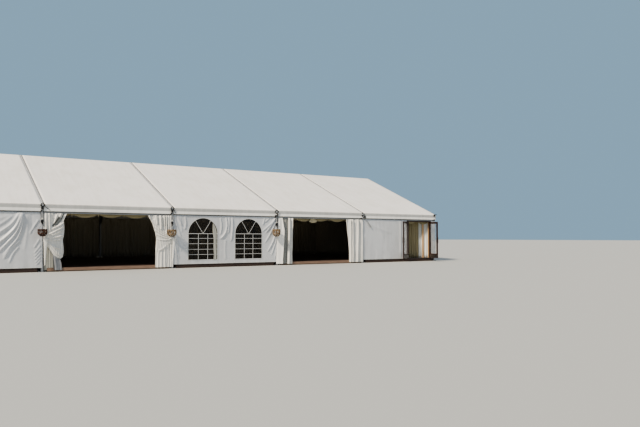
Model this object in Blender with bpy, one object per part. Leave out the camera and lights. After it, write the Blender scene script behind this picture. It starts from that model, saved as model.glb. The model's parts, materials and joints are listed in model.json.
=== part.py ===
"""Framed marquee tent, five bays long, standing on its own cassette floor.

Six aluminium portal frames carry purlins and one coated-fabric roof sheet per bay and slope. Wall sheets
and gathered curtains hang outside the legs from a track under the eaves. One end bay has a double door.
X runs along the tent, Y across it, Z up, in metres. The front faces -Y. Bays count from the door gable at +X.
"""

import math

import bmesh
import bpy

# The tent as a whole
bay_fronts = ("doors", "entrance", "windows", "entrance", "plain")
bay_length = 5.0
span = 12.0
roof_edge_height = 2.52
roof_pitch = math.radians(22.5)
eave_overhang = 0.10
gable_overhang = 0.025
fit_gap = 0.0003

# Portal frames
frame_width = 0.09
leg_depth = 0.17
rafter_depth = 0.17
haunch = 0.35
base_plate_side = 0.30
base_plate_thickness = 0.012
leg_in_plate = 0.008

# Purlins, gable posts and the eave rail that carries the walls
purlin_width = 0.06
purlin_depth = 0.10
purlin_share = 0.5
gable_post_width = 0.08
gable_post_depth = 0.06
gable_post_spacing = 4.0
rail_box_depth = 0.060
rail_box_drop = 0.12
rail_web = 0.012
track_depth = 0.035
track_drop = 0.33
track_height = 0.06

# Coated fabric
roof_sheet_thickness = 0.008
roof_seam = 0.08
wall_sheet_thickness = 0.006
wall_seam = 0.004
wall_lap = 0.025
valance_thickness = 0.005
valance_setback = 0.030
valance_slope_drop = 0.132
valance_drop = 0.265

# Floor
floor_height = 0.15
floor_notch_clearance = 0.010
wall_foot_clearance = 0.005

# Arched windows
window_radius = 0.675
window_head_clearance = 0.07
window_foot = 0.33
window_spacing = 2.18
window_shift = -0.07
window_film_thickness = 0.003
arch_steps = 24

# Gathered curtains. A reach is how far the foot stands out from the frame's centre line. Each outline gives
# shares of the height, from foot to head, with the share of the reach that the curtain has there.
curtain_foot = 0.05
curtain_clearance = 0.005
curtain_depth = 0.11
curtain_waist_depth = 0.15
curtain_corner_steps = 20
curtain_squareness = 0.45
left_curtain_reach_2 = 0.84
right_curtain_reach_2 = 0.86
left_curtain_reach_4 = 0.66
right_curtain_reach_4 = 0.74
curtain_outlines = {
    (2, "left"): (left_curtain_reach_2, ((0.0, 1.0), (0.35, 0.95), (0.65, 0.98), (1.0, 1.04))),
    (2, "right"): (right_curtain_reach_2, ((0.0, 1.0), (0.35, 1.0), (0.65, 1.07), (1.0, 1.18))),
    (4, "left"): (left_curtain_reach_4, ((0.0, 1.0), (0.25, 0.95), (0.53, 1.06), (0.76, 1.12), (1.0, 1.26))),
    (4, "right"): (right_curtain_reach_4, ((0.0, 1.0), (0.4, 0.98), (0.62, 1.01), (0.82, 1.2), (1.0, 1.42))),
}

# Double door
doorway_to_gable = 0.34
doorway_width = 1.63
door_head_rail = 0.06
door_jamb = 0.06
door_frame_front = 0.041
door_frame_depth = 0.091
door_threshold = 0.020
door_gap = 0.006
door_meeting_gap = 0.008
door_thickness = 0.040
door_stile = 0.085
door_foot_rail = 0.22
door_glass_thickness = 0.008
left_door_open = math.radians(152)
right_door_open = math.radians(78)

# Lift-off hinges, whose pins stand proud of the doors' outer faces
hinge_proud = 0.010
barrel_radius = 0.009
barrel_length = 0.05
barrel_gap = 0.0005
strap_length = 0.045
strap_thickness = 0.004
strap_sink = 0.001
barrel_sides = 20
hinge_shares = (0.12, 0.88)

# Where things are, worked out from the sizes above
building_length = bay_length * len(bay_fronts)
half_span = span / 2
leg_inner = half_span - leg_depth
end_face = building_length / 2 + frame_width / 2
wall_back = half_span + track_depth + fit_gap
wall_front = wall_back + wall_sheet_thickness
corner_x = end_face + fit_gap + wall_sheet_thickness
rail_box_foot = roof_edge_height - rail_box_drop
track_foot = roof_edge_height - track_drop
valance_fold_height = roof_edge_height - valance_slope_drop
valance_foot = roof_edge_height - valance_drop
wall_top = track_foot + wall_lap
wall_foot = floor_height + wall_foot_clearance
purlin_y = half_span * purlin_share
window_spring_height = track_foot - window_head_clearance - window_radius
doorway_head = track_foot - door_head_rail

# Finishes: colour, roughness, metallic
finishes = {
    "roof_pvc": ((0.80, 0.79, 0.76), 0.45, 0.0),
    "wall_pvc": ((0.74, 0.76, 0.78), 0.45, 0.0),
    "curtain_pvc": ((0.82, 0.82, 0.81), 0.5, 0.0),
    "aluminium": ((0.55, 0.56, 0.57), 0.35, 1.0),
    "window_film": ((0.20, 0.22, 0.23), 0.15, 0.0),
    "door_timber": ((0.09, 0.045, 0.03), 0.5, 0.0),
    "door_glass": ((0.45, 0.50, 0.50), 0.05, 0.0),
    "floor_timber": ((0.14, 0.09, 0.07), 0.7, 0.0),
}


def clear_scene():
    for obj in list(bpy.data.objects):
        bpy.data.objects.remove(obj, do_unlink=True)


def make_finish(name):
    colour, roughness, metallic = finishes[name]
    material = bpy.data.materials.new(name)
    material.use_nodes = True
    shader = material.node_tree.nodes["Principled BSDF"]
    shader.inputs["Base Color"].default_value = (*colour, 1.0)
    shader.inputs["Roughness"].default_value = roughness
    shader.inputs["Metallic"].default_value = metallic
    return material


def finish(name):
    return bpy.data.materials.get(name) or make_finish(name)


def new_object(name, bm, material):
    bmesh.ops.recalc_face_normals(bm, faces=bm.faces)
    mesh = bpy.data.meshes.new(name)
    bm.to_mesh(mesh)
    bm.free()
    mesh.materials.append(finish(material))
    obj = bpy.data.objects.new(name, mesh)
    bpy.context.scene.collection.objects.link(obj)
    return obj


def extrude_outline(bm, outline, axis, low, high):
    """Adds to bm an outline drawn square to an axis (in Y and Z, X and Z or X and Y), extruded along it."""
    place = "XYZ".index(axis)
    corners = [(*point[:place], low, *point[place:]) for point in outline]
    face = bm.faces.new([bm.verts.new(corner) for corner in corners])
    grown = bmesh.ops.extrude_face_region(bm, geom=[face])["geom"]
    moved = [item for item in grown if isinstance(item, bmesh.types.BMVert)]
    shift = [(high - low) * (axis == letter) for letter in "XYZ"]
    bmesh.ops.translate(bm, verts=moved, vec=shift)


def prism(name, outline, axis, low, high, material):
    bm = bmesh.new()
    extrude_outline(bm, outline, axis, low, high)
    return new_object(name, bm, material)


def rectangle(low_a, high_a, low_b, high_b):
    return [(low_a, low_b), (high_a, low_b), (high_a, high_b), (low_a, high_b)]


def cutter(name, bm):
    obj = new_object(name, bm, "aluminium")
    obj.hide_render = True
    obj.display_type = "WIRE"
    return obj


def apply_shape(obj, other, operation):
    modifier = obj.modifiers.new(other.name, "BOOLEAN")
    modifier.object = other
    modifier.operation = operation
    modifier.solver = "EXACT"


def frame_x(number):
    """X of a frame's centre line. Frame 0 is at the door gable."""
    return building_length / 2 - number * bay_length


def bay_frames(bay):
    """X of the centre lines of the frames at a bay's left and right."""
    return frame_x(bay), frame_x(bay - 1)


def roof_top(y):
    return roof_edge_height + (half_span + eave_overhang - abs(y)) * math.tan(roof_pitch)


def under_roof(y):
    return roof_top(y) - roof_sheet_thickness / math.cos(roof_pitch) - fit_gap


def rafter_foot(y):
    return under_roof(y) - rafter_depth / math.cos(roof_pitch)


def portal_outline():
    """The whole frame in Y and Z: two legs, two rafters, knee haunches and the seats of the purlins."""
    seat = purlin_width / 2 + fit_gap
    drop = purlin_depth + fit_gap
    low, high = purlin_y - seat, purlin_y + seat
    foot = base_plate_thickness - leg_in_plate
    outer = [
        (seat, under_roof(seat) - drop),
        (seat, under_roof(seat)),
        (low, under_roof(low)),
        (low, under_roof(low) - drop),
        (high, under_roof(high) - drop),
        (high, under_roof(high)),
        (half_span, under_roof(half_span)),
        (half_span, foot),
    ]
    inner = [
        (leg_inner, foot),
        (leg_inner, rafter_foot(leg_inner) - haunch),
        (leg_inner - haunch, rafter_foot(leg_inner - haunch)),
    ]
    half = outer + inner
    return half + [(0.0, rafter_foot(0.0))] + [(-y, z) for y, z in reversed(half)]


def portal_frame(number):
    x = frame_x(number)
    left, right = x - frame_width / 2, x + frame_width / 2
    frame = prism(f"portal_frame_{number + 1}", portal_outline(), "X", left, right, "aluminium")
    plates = bmesh.new()
    leg_centre = half_span - leg_depth / 2
    side = base_plate_side / 2
    for centre in (-leg_centre, leg_centre):
        outline = rectangle(x - side, x + side, centre - side, centre + side)
        extrude_outline(plates, outline, "Z", 0.0, base_plate_thickness)
    apply_shape(frame, cutter(f"base_plates_{number + 1}", plates), "UNION")


def roof_purlin(name, centre):
    """A purlin seated in the frames, with its top face against the roof sheets."""
    low, high = centre - purlin_width / 2, centre + purlin_width / 2
    top = [(low, under_roof(low)), (high, under_roof(high))]
    bottom = [(high, under_roof(high) - purlin_depth), (low, under_roof(low) - purlin_depth)]
    if centre == 0:
        top.insert(1, (0.0, under_roof(0.0)))
    prism(name, top + bottom, "X", -end_face, end_face, "aluminium")


def facing(side, outline):
    """An outline given as distance beyond the legs' outer faces and height, on the front or the back."""
    return [(side * (half_span + out), z) for out, z in outline]


def eave_rail(name, side):
    """The eave beam with the web and track below it that carry the wall sheets and curtains."""
    track_top = track_foot + track_height
    outline = [
        (fit_gap, under_roof(half_span + fit_gap)),
        (rail_box_depth, under_roof(half_span + rail_box_depth)),
        (rail_box_depth, rail_box_foot),
        (rail_web, rail_box_foot),
        (rail_web, track_top),
        (track_depth, track_top),
        (track_depth, track_foot),
        (fit_gap, track_foot),
    ]
    prism(name, facing(side, outline), "X", -end_face, end_face, "aluminium")


def valance(name, side):
    """The strip that hangs from the roof edge: it slopes in under the edge, then hangs straight."""
    outer, inner = eave_overhang - fit_gap, eave_overhang - valance_thickness
    hang = outer - valance_setback
    outline = [
        (outer, under_roof(half_span + outer)),
        (inner, under_roof(half_span + inner)),
        (hang - valance_thickness, valance_fold_height),
        (hang - valance_thickness, valance_foot),
        (hang, valance_foot),
        (hang, valance_fold_height),
    ]
    end = end_face + gable_overhang
    prism(name, facing(side, outline), "X", -end, end, "wall_pvc")


def roof_sheet(bay, side, name):
    """One slope of one bay, from frame to frame, or over the end frame at a gable."""
    left, right = bay_frames(bay)
    left += roof_seam / 2
    right -= roof_seam / 2
    if bay == 1:
        right = end_face + gable_overhang
    if bay == len(bay_fronts):
        left = -end_face - gable_overhang
    ridge, edge = fit_gap, half_span + eave_overhang
    down = roof_sheet_thickness / math.cos(roof_pitch)
    top = [(side * y, roof_top(y)) for y in (ridge, edge)]
    underside = [(y, z - down) for y, z in reversed(top)]
    prism(name, top + underside, "X", left, right, "roof_pvc")


def gable_wall(name, side):
    """The flat sheet that closes a gable, from the floor to the roof and from corner to corner."""
    edge = half_span + track_depth
    foot = [(-edge, wall_foot), (edge, wall_foot)]
    slopes = [(y, under_roof(y)) for y in (edge, 0.0, -edge)]
    faces = sorted((side * (end_face + fit_gap), side * corner_x))
    prism(name, foot + slopes, "X", faces[0], faces[1], "wall_pvc")


def gable_post(name, end, side):
    """An upright between the floor and a gable frame's rafter."""
    x = end * building_length / 2
    near = side * (gable_post_spacing / 2 - gable_post_depth / 2)
    far = side * (gable_post_spacing / 2 + gable_post_depth / 2)
    foot = floor_height + fit_gap
    head = [(y, rafter_foot(y) - fit_gap) for y in (far, near)]
    outline = [(near, foot), (far, foot), *head]
    prism(name, outline, "X", x - gable_post_width / 2, x + gable_post_width / 2, "aluminium")


def floor_deck():
    """The cassette floor, notched round every leg and its base plate."""
    whole = rectangle(-end_face, end_face, -half_span, half_span)
    deck = prism("floor_deck", whole, "Z", 0.0, floor_height, "floor_timber")
    notches = bmesh.new()
    reach = base_plate_side / 2 + floor_notch_clearance
    inside = half_span - leg_depth / 2 - reach
    for number in range(len(bay_fronts) + 1):
        x = frame_x(number)
        for low, high in ((-half_span - reach, -inside), (inside, half_span + reach)):
            notch = rectangle(x - reach, x + reach, low, high)
            extrude_outline(notches, notch, "Z", -reach, floor_height + reach)
    apply_shape(deck, cutter("leg_notches", notches), "DIFFERENCE")


def wall_sheet(name, left, right, side):
    faces = sorted((side * wall_back, side * wall_front))
    return prism(name, rectangle(left, right, wall_foot, wall_top), "Y", faces[0], faces[1], "wall_pvc")


def sheet_ends(bay):
    """Left and right edges of a bay's wall sheet, with the corners of the tent covered by the end bays."""
    left, right = bay_frames(bay)
    left = -corner_x if bay == len(bay_fronts) else left + wall_seam / 2
    right = corner_x if bay == 1 else right - wall_seam / 2
    return left, right


def arch_outline(centre, radius):
    """A window with a half-round head, in X and Z."""
    arc = [math.pi * step / arch_steps for step in range(arch_steps + 1)]
    grown = radius - window_radius
    head = [(centre + radius * math.cos(a), window_spring_height + radius * math.sin(a)) for a in arc]
    return [(centre - radius, window_foot - grown), (centre + radius, window_foot - grown)] + head


def window_bay(bay):
    """A wall sheet with two arched windows of clear film."""
    left, right = sheet_ends(bay)
    wall = wall_sheet(f"window_wall_bay_{bay}", left, right, -1)
    middle = sum(bay_frames(bay)) / 2 + window_shift
    holes = bmesh.new()
    before, behind = -wall_front - track_depth, -wall_back + track_depth
    film = (wall_back + wall_front - window_film_thickness) / 2
    for name, side in (("left", -1), ("right", 1)):
        centre = middle + side * window_spacing / 2
        extrude_outline(holes, arch_outline(centre, window_radius), "Y", before, behind)
        pane = arch_outline(centre, window_radius - fit_gap)
        prism(f"window_{name}_bay_{bay}", pane, "Y", -film - window_film_thickness, -film, "window_film")
    apply_shape(wall, cutter(f"window_holes_{bay}", holes), "DIFFERENCE")


def rounded_ring(bm, left, right, back, front, z):
    """A closed loop of edges round a box with well-rounded corners. Returns its edges and vertices."""
    verts = []
    for step in range(curtain_corner_steps):
        angle = 2 * math.pi * step / curtain_corner_steps
        c, s = math.cos(angle), math.sin(angle)
        x = (left + right + math.copysign(abs(c) ** curtain_squareness, c) * (right - left)) / 2
        y = (back + front + math.copysign(abs(s) ** curtain_squareness, s) * (back - front)) / 2
        verts.append(bm.verts.new((x, y, z)))
    edges = [bm.edges.new((verts[i - 1], verts[i])) for i in range(len(verts))]
    return edges, verts


def curtain(bay, side):
    """A curtain drawn back and gathered against its frame, lofted through its widths from foot to head."""
    head = track_foot - fit_gap
    left_frame, right_frame = bay_frames(bay)
    frame, inward = (left_frame, 1) if side == "left" else (right_frame, -1)
    start = frame + inward * wall_seam / 2
    back = -half_span - curtain_clearance
    reach, outline = curtain_outlines[(bay, side)]
    bm = bmesh.new()
    rings = []
    for height_share, reach_share in outline:
        tip = frame + inward * reach * reach_share
        depth = curtain_depth + (curtain_waist_depth - curtain_depth) * math.sin(math.pi * height_share)
        z = curtain_foot + height_share * (head - curtain_foot)
        rings.append(rounded_ring(bm, min(start, tip), max(start, tip), back, back - depth, z))
    for (lower, _), (upper, _) in zip(rings, rings[1:]):
        bmesh.ops.bridge_loops(bm, edges=lower + upper)
    for _, verts in (rings[0], rings[-1]):
        bm.faces.new(verts)
    obj = new_object(f"curtain_{side}_bay_{bay}", bm, "curtain_pvc")
    obj.data.shade_smooth()
    obj.data.set_sharp_from_angle(angle=math.radians(50))


def hinge_outline(side):
    """One leaf of a hinge in X and Y: a barrel round the axis with a strap on the face beside it."""
    front, back = hinge_proud - strap_thickness, hinge_proud + strap_sink
    first, last = math.pi / 2, 2 * math.pi + math.asin(front / barrel_radius)
    turn = [first + (last - first) * step / barrel_sides for step in range(barrel_sides + 1)]
    arc = [(barrel_radius * math.cos(a), barrel_radius * math.sin(a)) for a in turn]
    return [(side * x, y) for x, y in [(strap_length, front), (strap_length, back), (0.0, back)] + arc]


def hinge_leaves(name, side, lift, holder):
    """The upper and lower hinge leaves of a door or of its jamb, joined to it by a union."""
    bm = bmesh.new()
    for share in hinge_shares:
        foot = floor_height + share * (doorway_head - floor_height) + lift
        extrude_outline(bm, hinge_outline(side), "Z", foot, foot + barrel_length)
    leaves = cutter(name, bm)
    leaves.parent = holder
    return leaves


def hinge_axis(name, x, angle):
    """An empty on a hinge's axis, turned by the angle at which its door stands open."""
    axis = bpy.data.objects.new(name, None)
    axis.location = (x, -half_span - door_frame_front - hinge_proud, 0.0)
    axis.rotation_euler.z = angle
    bpy.context.scene.collection.objects.link(axis)
    return axis


def door(name, side, holder):
    """One glazed door, drawn shut with its hinge axis at X = Y = 0 and carried by a turned empty."""
    start = door_gap / 2
    end = start + doorway_width / 2 - door_gap - door_meeting_gap / 2
    foot, head = floor_height + door_threshold + door_gap, doorway_head - door_gap
    edges = sorted((side * start, side * end))
    back = hinge_proud + door_thickness
    body = prism(name, rectangle(*edges, foot, head), "Y", hinge_proud, back, "door_timber")
    sight = sorted((side * (start + door_stile), side * (end - door_stile)))
    light = (*sight, foot + door_foot_rail, head - door_stile)
    opening = bmesh.new()
    extrude_outline(opening, rectangle(*light), "Y", -door_thickness, hinge_proud + 2 * door_thickness)
    opening = cutter(f"{name}_opening", opening)
    inside = (light[0] + fit_gap, light[1] - fit_gap, light[2] + fit_gap, light[3] - fit_gap)
    middle = hinge_proud + door_thickness / 2
    near, far = middle - door_glass_thickness / 2, middle + door_glass_thickness / 2
    glass = prism(f"{name}_glass", rectangle(*inside), "Y", near, far, "door_glass")
    for piece in (body, opening, glass):
        piece.parent = holder
    apply_shape(body, opening, "DIFFERENCE")
    apply_shape(body, hinge_leaves(f"{name}_hinges", side, barrel_gap, holder), "UNION")


def door_bay(bay):
    """The end bay: a plain sheet, the double door in its frame, and a narrow sheet to the corner."""
    right = bay_frames(bay)[1] - doorway_to_gable
    left = right - doorway_width
    front = -half_span - door_frame_front
    outline = rectangle(left - door_jamb, right + door_jamb, floor_height + fit_gap, track_foot - fit_gap)
    frame = prism("door_frame", outline, "Y", front, front + door_frame_depth, "door_timber")
    doorway = bmesh.new()
    clear = rectangle(left, right, floor_height + door_threshold, doorway_head)
    extrude_outline(doorway, clear, "Y", front - door_jamb, front + door_frame_depth + door_jamb)
    apply_shape(frame, cutter("doorway", doorway), "DIFFERENCE")
    doors = (
        ("left", 1, left + door_gap / 2, -left_door_open),
        ("right", -1, right - door_gap / 2, right_door_open),
    )
    for name, side, x, angle in doors:
        fixed = hinge_axis(f"{name}_jamb_hinges", x, 0.0)
        apply_shape(frame, hinge_leaves(f"{name}_jamb_leaves", -side, -barrel_length, fixed), "UNION")
        door(f"door_{name}", side, hinge_axis(f"{name}_door_axis", x, angle))
    ends = sheet_ends(bay)
    wall_sheet(f"wall_left_bay_{bay}", ends[0], left - door_jamb - fit_gap, -1)
    wall_sheet(f"wall_right_bay_{bay}", right + door_jamb + fit_gap, ends[1], -1)


def front_of_bay(bay, kind):
    if kind == "doors":
        door_bay(bay)
    elif kind == "windows":
        window_bay(bay)
    elif kind == "entrance":
        curtain(bay, "left")
        curtain(bay, "right")
    else:
        wall_sheet(f"wall_bay_{bay}", *sheet_ends(bay), -1)


def build():
    clear_scene()
    for number in range(len(bay_fronts) + 1):
        portal_frame(number)
    roof_purlin("ridge_purlin", 0.0)
    for name, side in (("front", -1), ("back", 1)):
        roof_purlin(f"purlin_{name}", side * purlin_y)
        eave_rail(f"eave_rail_{name}", side)
        valance(f"valance_{name}", side)
        for bay in range(1, len(bay_fronts) + 1):
            roof_sheet(bay, side, f"roof_sheet_{name}_{bay}")
    for name, end in (("left", -1), ("right", 1)):
        gable_wall(f"gable_wall_{name}", end)
        gable_post(f"gable_post_{name}_front", end, -1)
        gable_post(f"gable_post_{name}_back", end, 1)
    floor_deck()
    wall_sheet("back_wall", -corner_x, corner_x, 1)
    for bay, kind in enumerate(bay_fronts, start=1):
        front_of_bay(bay, kind)


build()
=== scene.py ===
"""Looks of the framed marquee tent: coated cloth, timber, aluminium and the small fittings on its eaves."""

import math
import random

import bmesh
import bpy
import numpy as np
from mathutils import Matrix, Vector
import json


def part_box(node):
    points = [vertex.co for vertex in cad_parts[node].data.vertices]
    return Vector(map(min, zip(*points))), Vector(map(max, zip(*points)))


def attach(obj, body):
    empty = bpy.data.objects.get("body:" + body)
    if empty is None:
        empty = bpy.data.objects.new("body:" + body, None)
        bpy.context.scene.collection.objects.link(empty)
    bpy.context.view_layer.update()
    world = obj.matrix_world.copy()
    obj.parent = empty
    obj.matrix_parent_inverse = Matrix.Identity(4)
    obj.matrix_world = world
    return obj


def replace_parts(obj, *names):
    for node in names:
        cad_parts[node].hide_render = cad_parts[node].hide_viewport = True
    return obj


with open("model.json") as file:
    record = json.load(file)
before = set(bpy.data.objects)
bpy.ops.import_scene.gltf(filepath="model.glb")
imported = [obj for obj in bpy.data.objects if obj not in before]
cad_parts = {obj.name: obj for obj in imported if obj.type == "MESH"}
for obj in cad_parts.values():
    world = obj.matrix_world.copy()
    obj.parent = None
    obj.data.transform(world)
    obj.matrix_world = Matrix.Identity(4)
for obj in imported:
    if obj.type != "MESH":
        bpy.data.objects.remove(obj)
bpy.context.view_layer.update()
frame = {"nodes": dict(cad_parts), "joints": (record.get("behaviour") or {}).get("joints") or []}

# Sizes shared with the frame, in metres
half_span = 6.0
edge_out = 6.1
edge_height = 2.52
roof_slope = math.tan(math.radians(22.5))
seam_width = 0.08
wall_foot = 0.155
wall_top = 2.215
wall_height = wall_top - wall_foot
wall_plane = 6.0383
gable_plane = 12.5483
gable_reach = 6.035
frame_lines = [sum(c.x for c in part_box(f"portal_frame_{n}")) / 2 for n in range(1, 7)]
inner_lines = frame_lines[1:-1]
bays = list(zip(frame_lines[1:], frame_lines))
window_radius = 0.675
window_spring = 1.445
window_sill = 0.33
window_centres = {side: sum(c.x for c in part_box(f"window_{side}_bay_3")) / 2 for side in ("left", "right")}
door_low, door_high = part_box("door_frame")
door_width = door_high.x - door_low.x - 0.12

# Sizes of what is made here, in metres
cloth_gauge = 0.0025
curtain_gauge = 0.0015
lining_gauge = 0.0012
tie_gauge = 0.002
curtain_foot = 0.055
curtain_head = 2.186
curtain_bend = 0.028
lining_foot = 0.153
swag_top = 2.262
tail_top = 2.235
clamp_plane = 6.110
ring_plane = 6.114
strap_plane = 6.0905
hook_height = 1.785
edge_board_middle = 0.087
drape_uprights = ((11.890, -5.760), (12.195, -5.893))

ends = {"left": -1, "right": 1}
sides = {"front": -1, "back": 1}
upward_y = (0, 1, 0)


# Materials

def linear(colour):
    """A hex colour such as #D8D6D0, as Blender's linear numbers."""
    parts = [int(colour[i:i + 2], 16) / 255 for i in (1, 3, 5)]
    return (*[c / 12.92 if c <= 0.04045 else ((c + 0.055) / 1.055) ** 2.4 for c in parts], 1.0)


def add(tree, kind, inputs=None, **settings):
    """Adds a node with its own settings; inputs are values or sockets by the input's name or number."""
    made = tree.nodes.new(kind)
    for name, value in settings.items():
        setattr(made, name, value)
    for key, value in (inputs or {}).items():
        if isinstance(value, bpy.types.NodeSocket):
            tree.links.new(value, made.inputs[key])
        else:
            made.inputs[key].default_value = value
    return made


def set_stops(ramp, *stops):
    """Gives a colour ramp its (place, hex colour) stops."""
    elements = ramp.color_ramp.elements
    while len(elements) < len(stops):
        elements.new(0.5)
    for element, (place, colour) in zip(elements, stops):
        element.position = place
        element.color = linear(colour)
    return ramp.outputs[0]


def start_material(name, **sockets):
    material = bpy.data.materials.new(name)
    material.use_nodes = True
    shader = material.node_tree.nodes["Principled BSDF"]
    for socket, value in sockets.items():
        shader.inputs[socket.replace("_", " ")].default_value = value
    return material, material.node_tree, shader


def join(tree, shader, **sockets):
    """Links outputs to the shader's sockets."""
    for socket, made in sockets.items():
        tree.links.new(made, shader.inputs[socket.replace("_", " ")])


def coated_cloth(name, clean, soiled, roughness=0.42, thread=0.010, seam_every=2.50, seam_way=0):
    """Woven polyester coated with soft PVC: an even satin skin with the weave printing through it faintly.

    The real weave has a thread every 1.1 mm, too fine for the picture, so thread is drawn coarser. Cloth
    widths are joined by weld lines 25 mm wide, across the sheet or along it by seam_way, a little higher.
    """
    material, tree, shader = start_material(name, Roughness=roughness, IOR=1.5, Coat_Weight=0.08,
                                            Coat_Roughness=0.3)
    cloth = add(tree, "ShaderNodeUVMap", uv_map="cloth").outputs[0]
    place = add(tree, "ShaderNodeTexCoord").outputs["Object"]
    bands = {"Vector": cloth, "Scale": math.pi / (10 * thread)}
    warp = add(tree, "ShaderNodeTexWave", bands, bands_direction="X").outputs["Fac"]
    weft = add(tree, "ShaderNodeTexWave", bands, bands_direction="Y").outputs["Fac"]
    weave = add(tree, "ShaderNodeMath", {0: warp, 1: weft}, operation="MULTIPLY").outputs[0]
    across = add(tree, "ShaderNodeSeparateXYZ", {0: cloth}).outputs[seam_way]
    turn = add(tree, "ShaderNodeMath", {0: across, 1: 1.0 / seam_every}, operation="MULTIPLY").outputs[0]
    share = add(tree, "ShaderNodeMath", {0: turn}, operation="FRACT").outputs[0]
    weld_line = {0: share, 1: 0.5, 2: 0.0125 / seam_every}
    weld = add(tree, "ShaderNodeMath", weld_line, operation="COMPARE").outputs[0]
    clouds = add(tree, "ShaderNodeTexNoise", {"Vector": place, "Scale": 0.9, "Detail": 5.0, "Roughness": 0.6})
    long_way = add(tree, "ShaderNodeMapping", {"Vector": place, "Scale": (3.0, 0.35, 0.35)}).outputs[0]
    runs = add(tree, "ShaderNodeTexNoise", {"Vector": long_way, "Scale": 2.2, "Detail": 4.0})
    both = {0: clouds.outputs["Fac"], 1: runs.outputs["Fac"]}
    dirt = add(tree, "ShaderNodeMath", both, operation="MULTIPLY").outputs[0]
    tone = set_stops(add(tree, "ShaderNodeValToRGB", {"Fac": dirt}), (0.12, soiled), (0.30, clean))
    lit = add(tree, "ShaderNodeMix", {0: weld, 6: tone, 7: linear(clean)}, data_type="RGBA").outputs[2]
    lift = add(tree, "ShaderNodeMath", {0: weave, 1: 0.25, 2: weld}, operation="MULTIPLY_ADD").outputs[0]
    bump = add(tree, "ShaderNodeBump", {"Height": lift, "Strength": 0.35, "Distance": 0.0008}).outputs[0]
    join(tree, shader, Base_Color=lit, Normal=bump)
    return material


def sewn_lining(name, light, dark):
    """Polyester satin, pleated and unlined: soft, with slubs along the weft and a broad dull sheen."""
    material, tree, shader = start_material(name, Roughness=0.6, Sheen_Weight=0.15)
    place = add(tree, "ShaderNodeTexCoord").outputs["Object"]
    stretched = add(tree, "ShaderNodeMapping", {"Vector": place, "Scale": (1.0, 1.0, 6.0)}).outputs[0]
    pattern = {"Vector": stretched, "Scale": 26.0, "Detail": 3.0}
    slubs = add(tree, "ShaderNodeTexNoise", pattern).outputs["Fac"]
    tone = set_stops(add(tree, "ShaderNodeValToRGB", {"Fac": slubs}), (0.3, dark), (0.7, light))
    bump = add(tree, "ShaderNodeBump", {"Height": slubs, "Strength": 0.15, "Distance": 0.001}).outputs[0]
    join(tree, shader, Base_Color=tone, Normal=bump)
    return material


def clear_sheet(name, tint, roughness, index, ripple, ripple_scale, solid):
    """Clear vinyl film or float glass: see-through and glossy, with a slight ripple in what it reflects.

    solid is the share of light that the sheet bends or reflects; the rest goes straight through it.
    """
    material, tree, shader = start_material(name, Roughness=roughness, IOR=index, Transmission_Weight=1.0,
                                            Alpha=solid)
    place = add(tree, "ShaderNodeTexCoord").outputs["Object"]
    pattern = {"Vector": place, "Scale": ripple_scale, "Detail": 1.0}
    waves = add(tree, "ShaderNodeTexNoise", pattern).outputs["Fac"]
    tone = set_stops(add(tree, "ShaderNodeValToRGB", {"Fac": waves}), (0.35, tint[0]), (0.65, tint[1]))
    bump = add(tree, "ShaderNodeBump", {"Height": waves, "Strength": ripple, "Distance": 0.004}).outputs[0]
    join(tree, shader, Base_Color=tone, Normal=bump)
    return material


def metal(name, light, dark, roughness, metallic, grain):
    """Drawn, cast or painted metal: die lines or fine grit break up its highlights and dull it in places."""
    material, tree, shader = start_material(name, Metallic=metallic)
    place = add(tree, "ShaderNodeTexCoord").outputs["Object"]
    drawn = add(tree, "ShaderNodeMapping", {"Vector": place, "Scale": grain}).outputs[0]
    pattern = {"Vector": drawn, "Scale": 9.0, "Detail": 6.0, "Roughness": 0.65}
    lines = add(tree, "ShaderNodeTexNoise", pattern).outputs["Fac"]
    tone = set_stops(add(tree, "ShaderNodeValToRGB", {"Fac": lines}), (0.3, dark), (0.7, light))
    wear = {"Value": lines, 3: roughness - 0.08, 4: roughness + 0.1}
    dull = add(tree, "ShaderNodeMapRange", wear).outputs[0]
    bump = add(tree, "ShaderNodeBump", {"Height": lines, "Strength": 0.12, "Distance": 0.0008}).outputs[0]
    join(tree, shader, Base_Color=tone, Roughness=dull, Normal=bump)
    return material


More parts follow.
